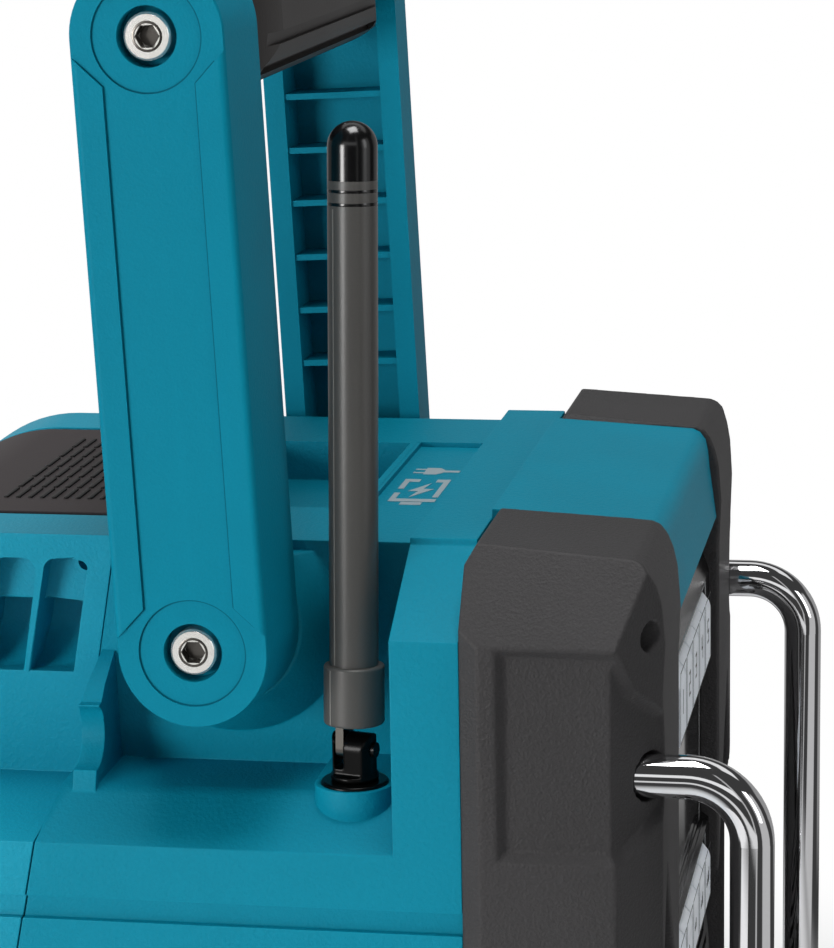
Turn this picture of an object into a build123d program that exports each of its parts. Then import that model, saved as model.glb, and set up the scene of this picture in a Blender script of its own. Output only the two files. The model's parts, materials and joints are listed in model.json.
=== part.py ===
from build123d import *
import os
from math import atan, cos, radians, sin, sqrt

os.makedirs("parts", exist_ok=True)

# A jobsite radio. Millimetres, floor at Z = 0, +Y to the rear, X = 0 on the middle plane. The line along the
# two handle pivots is the datum: py and pz give a place from its distance behind and above that line.
bar_reach = 158.7          # from the pivot line to the front of the roll bars
rear_reach = 138.0         # from the pivot line to the back of the door
pivot_y = (bar_reach - rear_reach) / 2
pivot_z = 253.0

wall = 3.2                 # moulded wall
gap = 0.3                  # between pieces that move past each other
slack = 0.05               # running clearance of a pin in its bore
foot_height = 6.0
base_z = foot_height
tray_height = 24.0
tray_top_z = base_z + tray_height

# housing
half_width = 130.0
deck_rise = 22.5           # top deck above the pivot line
step_rise = 25.0           # raised part of the deck in front of the handle
band_rise = 27.8           # band behind the front edge
band_low_z = -4.6
band_edge = ((3.8, 16.0), (4.4, 9.8), (5.2, 6.2), (7.0, 3.8), (9.4, 2.7))     # back from the front, down
step_y = -54.3             # where the trough and the lower deck begin
bumper_rear_y = -73.7
front_wall_y = -116.0
band_front_y = -128.5
shoulder_x = half_width - 35.6
shoulder_z = 4.3
seam_y = 35.4              # the slanting joint between housing and door, at the height seam_z
seam_z = 7.9
seam_slope = 0.2

# side trough that the folded handle and antenna lie in
trough_top_x = half_width - 39.0
trough_ledge_x = half_width - 49.0
trough_ledge_z = -46.6
trough_edge_x = half_width - 22.5
trough_edge_z = -57.4
trough_door_drop = 5.4     # the door's ledge lies lower than the housing's
band_groove_z = -73.5
band_groove_height = 6.5
band_groove_depth = 2.0
hook_y = (35.5, 42.5)
hook_notch_radius = 9.2

# door
door_top_radius = 44.0
hinge_inset = 5.0
hinge_pin_radius = 2.0
knuckle_radius = 5.0
knuckle_length = 15.0
knuckle_x = 60.0
cell_count = 4
cell_width = 13.0
cell_rib = 2.2
cell_first_y = 41.4        # front edge of the first cell, at its upper end
cell_low_z = -20.0
cell_high_z = 15.0
cell_shelf_z = 1.0
cell_shelf = 4.0           # depth of a cell's upper part behind the trough's foot line
cell_depth = 12.0          # depth of its lower part
cell_corner = 4.0
cell_hole_radius = 2.4

# latch lever on the door, with its rubber pad
lever_half = 64.0
pad_half = lever_half - 3.0
pad_thick = 2.4
lever_thick = 2.6
lever_front_y = 36.5
lever_end_angle = 22.0
lever_barrel = 3.4
lever_pin_radius = 1.5
latch_nose_half = 22.0
nose_drop = 9.0            # from the deck to the tip of the latch nose
nose_reach = 5.0           # how far it reaches over the housing
nose_floor_z = 5.0

# handle
handle_lean = 2.4          # degrees, back
arm_length = 169.0
arm_outer_x = half_width + 4.0
arm_thick = 31.6
arm_radius = 21.15
arm_taper = 3.9
arm_edge_radius = 2.0
arm_recess_depth = 16.0
arm_recess_half = 16.5
strip_height = 0.8         # raised strips along an arm's outer face
strip_inner = 12.8
rib_places = (39.0, 57.3, 75.5, 94.0, 111.9, 130.1)
rib_thick = 2.0
rib_inset = 0.8
ring_radius = 15.2
ring_step = 0.6
hub_radius = 15.0
bolt_radius = 4.0
bolt_head_radius = 6.5
bolt_head_height = 6.0
bolt_sink = 8.0
bolt_hex = 6.0
bolt_length = 34.0
counterbore_radius = 8.3
grip_width = 45.5
grip_height = 40.0
grip_corner = 15.0
grip_end_inset = 9.0       # how much thinner the grip is where it meets the arms
grip_straight = 55.0       # half the length between its rounded ends
grip_core_radius = 9.0
channel_half = 84.0
channel_width = 3.6
channel_depth = 1.8
channel_angles = (-40, -5, 31, 69, 111, 149, 185, 220)
washer_radius = 13.0
washer_thick = 1.0
boss_radius = 24.0
boss_foot_radius = 40.0

# roll bars
bar_x = half_width - 16.0
bar_radius = 6.2
bar_top_z = -36.4
bar_bottom_z = -209.0
bar_bend = 18.0
bar_socket = 8.5           # how deep its ends stand in the housing
bar_hole_radius = bar_radius + 0.9
seat_radius = 11.0
seat_depth = 12.0

# console, keys, display
console_half = 67.5
console_top_z = band_low_z - 1.0
console_bottom_z = -137.0
console_front_y = -124.5
console_slope = 6.0        # how far the upper edge stands back
console_border = 2.0
console_chamfer = 3.0
key_count = 5
key_pitch = 20.6
key_gap = 0.8
key_top_z = -24.0
key_height = 24.0
key_proud = 2.0
key_travel = 0.8
low_key_top_z = -109.0
low_key_height = 20.0
lens_half = 56.0
lens_top_z = -52.0
lens_bottom_z = -105.0
lens_thick = 2.0
lens_sink = 2.5
lens_lap = 4.0
mat_thick = 2.4
board_thick = 1.6
chip_height = 4.0

# lower front: speakers and knobs
volume_knob_radius = 19.0
tuning_knob_radius = 13.0
knob_front = 17.0
volume_knob_drop = 32.0    # below the console's lower edge
tuning_knob_drop = 75.0
knob_shaft_radius = 3.0
knob_ribs = 12
knob_rib_width = 1.8
encoder_size = 14.0
encoder_depth = 8.0
encoder_neck = 5.0
speaker_clear = 5.0
speaker_margin = 24.0      # from the housing's side to the speaker's rim
speaker_radius = (half_width - speaker_margin - volume_knob_radius - speaker_clear) / 2
speaker_x = half_width - speaker_margin - speaker_radius
speaker_drop = 44.0
speaker_z = pivot_z + console_bottom_z - speaker_drop
speaker_rim = 3.0
cone_radius = speaker_radius - 8.0
cone_neck = 12.0
magnet_radius = 24.0
magnet_depth = 12.0
pole_radius = 20.0
pole_depth = 5.0
bowl_depth = 22.0
baffle_thick = 3.0
grille_thick = 2.4
grille_hub = 8.0
slot_count = 9
slot_room = speaker_radius - speaker_rim - 2.0
slot_pitch = 2 * slot_room / (slot_count + 0.5)
slot_height = 0.47 * slot_pitch

# bumpers
bumper_inner_x = console_half + 0.4
bumper_outer_x = half_width + 3.5
bumper_rise = 28.8
bumper_back = 2.2          # from its foremost reach to its front face
bumper_edge = ((9.6, 3.2), (7.2, 4.3), (5.2, 7.0), (3.6, 11.0), (2.4, 16.5), (1.6, 28.0), (2.2, 42.0))
bumper_top_x = half_width - 15.0
bumper_side_z = 4.0
bumper_front_y = band_front_y - 1.5
bumper_core_x = half_width - 8.0
bumper_shell = 8.0         # rubber over the housing's upper ends
corner_in_x = half_width - 22.0
corner_in_y = -117.0
rear_chamfer = (3.2, 5.5)
inner_chamfer = 3.0
apex_x = half_width - 29.0     # the opening round the speaker starts in a point
apex_z = -65.0
window_x = half_width - 13.0
window_side_z = -112.0
window_bottom_z = -193.0
window_inner_x = half_width - 48.0
window_inner_z = -98.0
window_foot_z = console_bottom_z + 3.0
lower_block_x = half_width - 30.0
speaker_ring = 5.0         # of rubber-free space round the speaker
side_recess_depth = 2.5
side_recess_slope = 45.0
side_recess_y = -84.0
side_recess_z = (-57.0, 3.6)
screw_x = half_width - 12.0
screw_z = 4.4
screw_hole_radius = 4.3
screw_head_radius = 3.6
screw_head_height = 2.6
screw_shank_radius = 1.9
screw_hex = 1.8

# antenna
antenna_x = -(half_width - 22.0)
antenna_y = -39.8
pin_z = -33.1
pin_turn = 76.0            # degrees from straight back to the way that the antenna folds
antenna_lean = 2.5
boss_top_z = -43.0
antenna_boss_radius = 11.4
boss_rim_height = 4.0
flange_radius = 9.6
flange_seat = 1.6
flange_rise = 0.8
antenna_swivel_radius = 6.0
swivel_depth = 8.0
swivel_disc_radius = 6.9
knuckle_width = 12.0
knuckle_half = 4.7         # along the way that the antenna folds
tang_width = 2.4
tang_shift = 3.0           # the tang stands beside the knuckle's middle
antenna_pin_radius = 1.3
pin_head_radius = 2.2
rod_head_radius = 4.8
rod_head_height = 2.9
collar_radius = 8.6
collar_low = 7.3
collar_high = 24.3
sleeve_radius = 6.95
sleeve_high = 160.3
cap_high = 176.5
core_radius = 2.5

# deck plate and pit
plate_x = (-45.0, 50.0)
plate_y = (-53.0, -31.0)
plate_depth = 1.6
pit_half = 48.0
pit_y = (-29.0, 22.0)
pit_depth = 13.0

# battery bay
bay_half = 42.0
bay_height = 128.0
bay_depth = 46.0
bay_wall = 2.6
bay_centre_z = -105.0
chassis_thick = 4.0
chassis_inset = 1.0
rail_width = 5.0
rail_out = (-16.0, -11.0)
rail_short = 30.0
terminal_half = 24.0
terminal_height = 14.0
terminal_depth = 16.0
contact_pitch = 14.0
contact_length = 10.0
contact_thick = 1.0
contact_out = (6.0, 14.0)
gasket_margin = 6.0
gasket_width = 4.0
gasket_thick = 2.5

# mains inlet
inlet_depth = 24.0
inlet_y = (-20.0, 12.0)
inlet_z = (45.0, 71.0)
inlet_rim = 5.0
inlet_floor = 7.0
inlet_pin_radius = 1.6
inlet_pin_y = (-8.0, 0.0)

# feet
foot_radius = 9.0
foot_taper = 1.2
foot_stem_radius = 3.0
foot_x = half_width - 25.0
foot_y = (-95.0, 105.0)
foot_places = [(side * foot_x, pivot_y + y) for side in (-1, 1) for y in foot_y]

# the axes that the door and its latch turn on
hinge_y = pivot_y + rear_reach - hinge_inset
hinge_z = tray_top_z
lever_axis_radius = door_top_radius - pad_thick - lever_thick / 2 - 0.6
lever_y = pivot_y + rear_reach - door_top_radius + lever_axis_radius * cos(radians(lever_end_angle))
lever_z = pivot_z + deck_rise - door_top_radius + lever_axis_radius * sin(radians(lever_end_angle))


def py(value):
    return pivot_y + value


def pz(value):
    return pivot_z + value


def block(x0, x1, y0, y1, z0, z1):
    return Pos((x0 + x1) / 2, (y0 + y1) / 2, (z0 + z1) / 2) * Box(x1 - x0, y1 - y0, z1 - z0)


def along_x(face, x0, x1):
    return extrude(Plane.YZ.offset(x0) * face, x1 - x0)


def along_y(face, y0, y1):
    return extrude(Plane.XZ.offset(-y1) * face, y1 - y0)


def along_z(face, z0, z1):
    return extrude(Plane.XY.offset(z0) * face, z1 - z0)


def outline(*points):
    return make_face(Polyline(*points, close=True))


def rod_x(radius, x0, x1, y, z):
    return Pos((x0 + x1) / 2, y, z) * Rot(0, 90, 0) * Cylinder(radius, x1 - x0)


def rod_y(radius, y0, y1, x, z):
    return Pos(x, (y0 + y1) / 2, z) * Rot(90, 0, 0) * Cylinder(radius, y1 - y0)


def rod_z(radius, z0, z1, x, y):
    return Pos(x, y, (z0 + z1) / 2) * Cylinder(radius, z1 - z0)


def both(shape):
    return shape + mirror(shape, about=Plane.YZ)


def seam_at(z):
    """The seam's Y at a height Z above the floor."""
    return py(seam_y + seam_slope * (seam_z - (z - pivot_z)))


# The housing


def shell_end(y0, y1):
    """Block over everything outside the console's width, on the left."""
    return block(-half_width - wall, -bumper_inner_x, y0, y1, 0, pz(band_rise + door_top_radius))


def housing_profile():
    """Side outline of the front housing, with the tray that carries the door's hinge."""
    return outline(
        (py(front_wall_y), base_z),
        (py(front_wall_y), pz(band_low_z)),
        (py(band_front_y) + 1.6, pz(band_low_z)),
        *[(py(band_front_y) + back, pz(band_rise - drop)) for back, drop in band_edge],
        (py(bumper_rear_y), pz(band_rise)),
        (py(bumper_rear_y), pz(step_rise)),
        (py(step_y), pz(step_rise)),
        (py(step_y), pz(deck_rise)),
        (seam_at(pz(deck_rise)), pz(deck_rise)),
        (seam_at(tray_top_z), tray_top_z),
        (hinge_y - gap, tray_top_z),
        (hinge_y - gap, base_z),
    )


def trough_cut(side_y0, side_y1, drop=0.0):
    """The space beside the deck that the folded handle and antenna lie in, on the left."""
    far = half_width + 10
    face = outline(
        (-trough_top_x, pz(deck_rise + 10)),
        (-trough_ledge_x, pz(trough_ledge_z - drop)),
        (-trough_edge_x, pz(trough_ledge_z - drop)),
        (-half_width, pz(trough_edge_z)),
        (-far, pz(trough_edge_z)),
        (-far, pz(deck_rise + 10)),
    )
    return along_y(face, side_y0, side_y1)


def shoulder_cut(y0, y1):
    far = half_width + 10
    face = outline(
        (-shoulder_x, pz(band_rise + 8)),
        (-shoulder_x, pz(deck_rise + 0.5)),
        (-half_width, pz(shoulder_z)),
        (-far, pz(shoulder_z)),
        (-far, pz(band_rise + 8)),
    )
    return along_y(face, y0, y1)


def bumper_core(clear=0.0):
    """The part of the housing that stands inside a bumper, on the left."""
    top = pz(bumper_rise - bumper_shell) + clear
    face = outline(
        (-bumper_core_x - clear, base_z - clear),
        (-bumper_core_x - clear, pz(bumper_side_z - bumper_shell) + clear),
        (-bumper_top_x + 6, top),
        (-bumper_inner_x + 1, top),
        (-bumper_inner_x + 1, base_z - clear),
    )
    return along_y(face, py(front_wall_y), py(bumper_rear_y) + 1)


def cavity(clear=0.0):
    """The hollow of the housing, open at the seam."""
    inset = wall + clear
    y0 = py(front_wall_y) + inset
    y1 = py(rear_reach)
    floor = tray_top_z + inset
    low_top = pz(trough_edge_z) - inset
    low_x = half_width - inset
    high_x = trough_ledge_x - inset
    core_x = bumper_core_x - inset
    low = block(-low_x, low_x, py(bumper_rear_y) + wall, y1, floor, low_top)
    high = block(-high_x, high_x, y0, y1, low_top - 1, pz(deck_rise) - inset)
    front = block(-core_x, core_x, y0, py(step_y) - inset, floor, pz(bumper_side_z - bumper_shell) - inset)
    return low + high + front


def pivot_boss():
    """Round foot on the trough's wall that a handle arm turns against, on the left."""
    face_x = arm_outer_x - arm_thick - washer_thick - 2 * gap
    foot_in_x = trough_ledge_x - wall
    middle = -(face_x + foot_in_x) / 2
    cone = Cone(boss_foot_radius, boss_radius, face_x - foot_in_x)
    cone = Pos(middle, py(0), pz(0)) * Rot(0, -90, 0) * cone
    high, low = pz(deck_rise - wall), pz(trough_ledge_z)
    rear = [(seam_at(high) - gap, high), (seam_at(low) - gap, low)]
    room = outline((py(step_y), low), (py(step_y), high), *rear)
    return cone & along_x(room, -half_width, -foot_in_x)


def pivot_thread():
    end_x = arm_outer_x - bolt_sink - bolt_length
    return rod_x(bolt_radius, -arm_outer_x, -end_x + 1, py(0), pz(0))


def hook_rib():
    """Rib across the trough with a notch that holds the stowed antenna, on the left."""
    y0, y1 = py(hook_y[0]), py(hook_y[1])
    middle = -abs(antenna_x)
    root = -trough_ledge_x + wall
    foot_low = pz(trough_ledge_z) - wall
    blade = outline(
        (root, foot_low),
        (root, pz(-8)),
        (-trough_ledge_x - 6, pz(-14)),
        (-trough_ledge_x - 16, pz(-20)),
        (middle + 6.6, pz(pin_z + 8.9)),
        (middle + 4.0, pz(pin_z + 8.7)),
        (middle + 4.0, pz(pin_z - 6)),
        (middle - 1.0, pz(pin_z - 9)),
        (middle - 3.5, foot_low),
    )
    notch = rod_y(hook_notch_radius, y0 - 1, y1 + 1, middle, pz(pin_z))
    mouth = block(middle - 20, middle, y0 - 1, y1 + 1, pz(pin_z) - 8.4, pz(pin_z) + 12)
    high, low = pz(0), pz(-70)
    in_front = outline((py(0), high), (seam_at(high) - gap, high), (seam_at(low) - gap, low), (py(0), low))
    return (along_y(blade, y0, y1) - notch - mouth) & along_x(in_front, -half_width, 0)


def antenna_boss():
    """Cup with a round bottom in the trough's ledge, with a web back to the trough's wall."""
    x, y, top = antenna_x, py(antenna_y), pz(boss_top_z)
    rim_low = top - boss_rim_height
    cup = rod_z(antenna_boss_radius, rim_low, top, x, y)
    cup += Pos(x, y, rim_low) * Sphere(antenna_boss_radius) & block(-half_width, 0, y - 20, y + 20, 0, rim_low)
    front, rear = y - antenna_boss_radius, y + antenna_boss_radius
    inner = -trough_ledge_x
    web = outline((x, front), (x, rear - 3), (x + 3, rear), (inner, rear), (inner, front))
    return cup + along_z(web, rim_low, top)


def make_front_housing():
    body = along_x(housing_profile(), -half_width, half_width)
    # the ends in front of the fins stand back, so that the bumpers close round them
    end = shell_end(py(band_front_y) - wall, py(bumper_rear_y))
    body -= both(end - bumper_core())
    body -= both(shoulder_cut(py(bumper_rear_y) - 1, py(step_y) + 1))
    body -= both(trough_cut(py(step_y), py(rear_reach) + 5))
    body -= both(side_groove(bumper_rear_y))
    body -= cavity()
    body += both(pivot_boss()) + both(hook_rib()) + antenna_boss()
    body -= both(pivot_thread())
    boss_top = pz(boss_top_z)
    foot_low = boss_top - swivel_depth - 1
    body -= rod_z(antenna_swivel_radius + slack, foot_low, boss_top + 1, antenna_x, py(antenna_y))
    body -= rod_z(flange_radius + slack, boss_top - flange_seat, boss_top + 1, antenna_x, py(antenna_y))
    # deck: shallow plate place, the pit behind it, and the pocket for the latch nose
    deck = pz(deck_rise)
    body -= block(plate_x[0], plate_x[1], py(plate_y[0]), py(plate_y[1]), deck - plate_depth, pz(band_rise))
    pit = block(-pit_half, pit_half, py(pit_y[0]), py(pit_y[1]), deck - pit_depth, pz(band_rise))
    pit_wall = block(-pit_half - wall, pit_half + wall, py(pit_y[0]) - wall, py(pit_y[1]) + wall,
                     deck - pit_depth - wall, deck)
    under_deck = block(-trough_ledge_x, trough_ledge_x, py(step_y), seam_at(deck) - 0.1, 0, deck - 0.1)
    body = body + (pit_wall & under_deck) - pit
    body += nose_pocket(wall) & under_deck
    body -= nose_pocket()
    # openings in the front wall for the keys, the display, the knobs and the speakers
    front = (py(front_wall_y) - 1, py(front_wall_y) + wall + 1)
    side = console_half - 2 * lens_lap
    body -= block(-side, side, *front, pz(console_bottom_z) + lens_lap, pz(key_top_z) + 1)
    for x in (-speaker_x, speaker_x):
        body -= rod_y(speaker_radius + gap, *front, x, speaker_z)
    for drop in (volume_knob_drop, tuning_knob_drop):
        body -= rod_y(encoder_size * 0.8, *front, 0, knob_place(drop))
    # sockets of the roll bars, the hollow of the tray and the hinge
    for z in (bar_top_z, bar_bottom_z):
        y0 = py(front_wall_y)
        body += both(rod_y(seat_radius, y0, y0 + seat_depth, -bar_x, pz(z)) & bumper_core())
        body -= both(rod_y(bar_radius + slack, y0 - 1, y0 + bar_socket + slack, -bar_x, pz(z)))
    side = half_width - wall
    rear = hinge_y - seat_depth
    body -= block(-side, side, py(bumper_rear_y) + wall, rear, base_z + wall, tray_top_z - wall)
    body += both(tray_knuckle())
    body -= both(door_knuckle_room())
    pin_end = knuckle_x + 3 * knuckle_length
    body -= both(rod_x(hinge_pin_radius, -pin_end, -knuckle_x + 1, hinge_y, hinge_z))
    body -= inlet_place(gap)
    for x, y in foot_places:
        body -= rod_z(foot_stem_radius, 0, base_z + wall + 1, x, y)
    return body


def side_groove(front_y):
    """The long groove low on the side, on the left, from a place behind the front."""
    high = pz(band_groove_z)
    return block(-half_width - 1, -half_width + band_groove_depth, py(front_y) - 1, py(rear_reach) + 5,
                 high - band_groove_height, high)


def nose_pocket(grow=0.0):
    """The notch in the deck's rear edge that the latch nose drops into."""
    half = latch_nose_half + 2 + grow
    front = seam_at(pz(deck_rise)) - nose_reach - 2 - grow
    return block(-half, half, front, front + 4 * nose_drop, pz(nose_floor_z) - grow, pz(band_rise))


# The door and its hinge

def tray_knuckle():
    """The two outer knuckles of one hinge, on the left."""
    parts = []
    for n in (0, 2):
        x1 = -knuckle_x - n * knuckle_length
        x0 = x1 - knuckle_length + gap
        barrel = rod_x(knuckle_radius, x0, x1, hinge_y, hinge_z)
        web = block(x0, x1, hinge_y - 9, hinge_y, hinge_z - knuckle_radius, hinge_z)
        parts.append(barrel + web)
    return parts[0] + parts[1]


def door_knuckle_room():
    x1 = -knuckle_x - knuckle_length + gap
    x0 = x1 - knuckle_length - gap
    return rod_x(knuckle_radius + gap, x0, x1, hinge_y, hinge_z)


def door_face(inset, bottom_z, seam_gap=0.0):
    """Side outline of the door: flat on top, round over the rear edge, straight down the back."""
    radius = door_top_radius - inset
    top = pz(deck_rise) - inset
    rear = py(rear_reach) - inset
    centre = (rear - radius, top - radius)
    mid = (centre[0] + radius * sin(radians(45)), centre[1] + radius * cos(radians(45)))
    edge = Polyline((rear, centre[1]), (rear, bottom_z), (seam_at(bottom_z) + seam_gap, bottom_z),
                    (seam_at(top) + seam_gap, top), (centre[0], top))
    return make_face(edge + ThreePointArc((centre[0], top), mid, (rear, centre[1])))


def side_cells():
    """Scooped cells with ribs between them in the upper side of the door, on the left."""
    low, high = pz(cell_low_z), pz(cell_high_z)
    back = trough_ledge_x - cell_depth
    far = trough_top_x + wall
    foot = trough_ledge_x + cell_shelf
    edge = Polyline((-foot, low), (-far, low), (-far, high), (-foot + cell_shelf, high),
                    (-foot + cell_shelf, pz(cell_shelf_z)), (-back, pz(cell_shelf_z)),
                    (-back, low + cell_depth))
    middle = (-back - 0.3 * cell_depth, low + 0.35 * cell_depth)
    bend = ThreePointArc((-back, low + cell_depth), middle, (-foot, low))
    scoop = make_face(edge + bend)
    lean = seam_slope * (high - low)
    cells = []
    for n in range(cell_count):
        y0 = py(cell_first_y) + n * (cell_width + cell_rib)
        face = outline((y0, high), (y0 + cell_width, high), (y0 + cell_width + lean, low), (y0 + lean, low))
        lower = face.vertices().sort_by(Axis.Z)[:2]
        face = fillet(lower, cell_corner)
        cells.append(along_x(face, -far, -back) & along_y(scoop, y0, y0 + 2 * cell_width + lean))
    corner = cell_hole_radius + 0.4
    hole = rod_x(cell_hole_radius, -far, -foot + 3 * cell_shelf, py(cell_first_y) + corner, high - corner)
    return cells + [hole]


def latch_channel(inner, outer, half, end_extra=0.0):
    """The curved layer of the door's top between two depths, from the seam to the lever's end."""
    layer = along_x(door_face(inner, 0), -half, half) - along_x(door_face(outer, 0), -half - 1, half + 1)
    centre = (py(rear_reach) - door_top_radius, pz(deck_rise) - door_top_radius)
    angle = radians(lever_end_angle)
    reach = 2 * door_top_radius
    end = (centre[0] + reach * cos(angle), centre[1] + reach * sin(angle))
    keep = outline(
        (py(lever_front_y) - 30, pz(80)),
        (py(lever_front_y) - 30, centre[1]),
        (centre[0], centre[1] - end_extra),
        (end[0], end[1] - end_extra),
        (end[0], pz(80)),
    )
    return layer & along_x(keep, -half - 2, half + 2)


def make_rear_door():
    bottom = tray_top_z + gap
    body = along_x(door_face(0, bottom, gap), -half_width, half_width)
    body -= both(trough_cut(py(step_y), py(rear_reach) + 5, drop=trough_door_drop))
    hollow_bottom = bottom + wall
    depth = pad_thick + lever_thick + gap + wall
    high_x = trough_ledge_x - cell_depth - wall
    low_x = half_width - wall
    high = along_x(door_face(depth, hollow_bottom), -high_x, high_x)
    low = along_x(door_face(wall, hollow_bottom), -low_x, low_x)
    low &= block(-low_x, low_x, 0, py(rear_reach), 0, pz(trough_edge_z - trough_door_drop) - wall)
    body -= high + low
    for cell in side_cells():
        body -= both(cell)
    half = lever_half + gap
    body -= latch_channel(-1, pad_thick + lever_thick + gap, half, end_extra=2.0)
    body -= rod_x(lever_barrel + gap, -half, half, lever_y, lever_z)
    body -= rod_x(lever_pin_radius, -lever_half - 3 * wall, lever_half + 3 * wall, lever_y, lever_z)
    # middle knuckle of each hinge, with room for the tray's two
    x1 = -knuckle_x - knuckle_length
    x0 = x1 - knuckle_length + gap
    body -= both(rod_x(knuckle_radius + gap, x1, -knuckle_x + gap, hinge_y, hinge_z))
    body -= both(rod_x(knuckle_radius + gap, x0 - knuckle_length - gap, x0, hinge_y, hinge_z))
    knuckle = rod_x(knuckle_radius, x0, x1, hinge_y, hinge_z)
    rib = block(x0, x1, hinge_y - 3, hinge_y + knuckle_radius, hinge_z, hinge_z + 2 * knuckle_radius)
    body += both(knuckle + rib)
    body -= both(rod_x(hinge_pin_radius + slack, x0 - 1, x1 + 1, hinge_y, hinge_z))
    return body - both(side_groove(0))


def make_hinge_pins():
    length = 3 * knuckle_length
    pin = rod_x(hinge_pin_radius, -knuckle_x - length + 1, -knuckle_x - 1, hinge_y, hinge_z)
    return both(pin)


def make_latch_lever():
    plate = latch_channel(pad_thick, pad_thick + lever_thick, lever_half)
    plate &= block(-lever_half, lever_half, py(lever_front_y), py(rear_reach), pz(-60), pz(60))
    barrel = rod_x(lever_barrel, -lever_half, lever_half, lever_y, lever_z)
    bore = rod_x(lever_pin_radius + slack, -lever_half - 1, lever_half + 1, lever_y, lever_z)
    top = pz(deck_rise)
    under = top - pad_thick - lever_thick
    front = seam_at(top) - nose_reach
    nose = block(-latch_nose_half, latch_nose_half, front, py(lever_front_y) + 4, under, top - pad_thick)
    tip = block(-latch_nose_half, latch_nose_half, front, front + pad_thick, top - nose_drop, under)
    return plate + barrel - bore + nose + tip


def make_latch_pad():
    layer = latch_channel(0, pad_thick, pad_half)
    layer &= block(-pad_half, pad_half, py(lever_front_y) + 2, py(rear_reach), pz(-60), pz(60))
    return layer - rod_x(lever_barrel + gap, -pad_half - 1, pad_half + 1, lever_y, lever_z)


def make_latch_pin():
    end = lever_half + 3 * wall - 1
    return rod_x(lever_pin_radius, -end, end, lever_y, lever_z)


# Battery bay and chassis in the housing's open back


def seam_frame():
    lean = atan(seam_slope)
    centre_z = pz(bay_centre_z)
    return Plane(origin=(0, seam_at(centre_z), centre_z), x_dir=(-1, 0, 0), z_dir=(0, cos(lean), sin(lean)))


def in_seam(x0, x1, up0, up1, out0, out1):
    """A block measured across, up the seam and out of it."""
    return seam_frame().location * block(x0, x1, up0, up1, out0, out1)


def make_rear_chassis():
    slab = in_seam(-half_width, half_width, -2 * bay_height, 2 * bay_height, -chassis_thick - chassis_inset,
                   -chassis_inset)
    plate = slab & cavity(gap)
    half_up = bay_height / 2
    outer_x = bay_half + bay_wall
    high = half_up + bay_wall
    outer = in_seam(-outer_x, outer_x, -high, high, -bay_depth - bay_wall, -chassis_inset)
    inner = in_seam(-bay_half, bay_half, -half_up, half_up, -bay_depth, chassis_thick)
    body = plate + outer - inner - nose_pocket(wall + gap)
    for side in (-1, 1):
        edges = sorted((side * bay_half, side * (bay_half - rail_width)))
        body += in_seam(edges[0], edges[1], -half_up, half_up - rail_short, *rail_out)
    return body


def make_terminal_block():
    top = bay_height / 2 - gap
    foot = top - terminal_height
    body = in_seam(-terminal_half, terminal_half, foot, top, -bay_depth + gap, -bay_depth + terminal_depth)
    for n in (-1, 0, 1):
        x = n * contact_pitch
        body += in_seam(x - contact_thick / 2, x + contact_thick / 2, foot - contact_length, foot,
                        -bay_depth + contact_out[0], -bay_depth + contact_out[1])
    return body


def make_door_gasket():
    inner_x, inner_up = bay_half + gasket_margin, bay_height / 2 + gasket_margin
    outer_x, outer_up = inner_x + gasket_width, inner_up + gasket_width
    ring = in_seam(-outer_x, outer_x, -outer_up, outer_up, -chassis_inset, gasket_thick - chassis_inset)
    return ring - in_seam(-inner_x, inner_x, -inner_up, inner_up, -chassis_inset - 1, gasket_thick)


def inlet_place(clear):
    return block(half_width - inlet_depth, half_width + 1, py(inlet_y[0]) - clear, py(inlet_y[1]) + clear,
                 inlet_z[0] - clear, inlet_z[1] + clear)


def make_ac_inlet():
    back = half_width - inlet_depth + gap
    body = block(back, half_width - slack, py(inlet_y[0]), py(inlet_y[1]), *inlet_z)
    body -= block(back + inlet_floor, half_width + 1, py(inlet_y[0]) + inlet_rim, py(inlet_y[1]) - inlet_rim,
                  inlet_z[0] + inlet_rim, inlet_z[1] - inlet_rim)
    for y in inlet_pin_y:
        pin_low = back + inlet_floor - 1
        body += rod_x(inlet_pin_radius, pin_low, half_width - inlet_floor, py(y), sum(inlet_z) / 2)
    return body


# Bumpers and roll bars


def front_window():
    """Outline of the opening in a bumper's front, on the left."""
    return outline(
        (-apex_x, pz(apex_z)),
        (-window_x, pz(window_side_z)),
        (-window_x, pz(window_bottom_z)),
        (-lower_block_x, pz(window_bottom_z)),
        (-lower_block_x, 0),
        (-bumper_inner_x + wall, 0),
        (-bumper_inner_x + wall, pz(window_foot_z)),
        (-window_inner_x, pz(window_inner_z)),
    )


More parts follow.
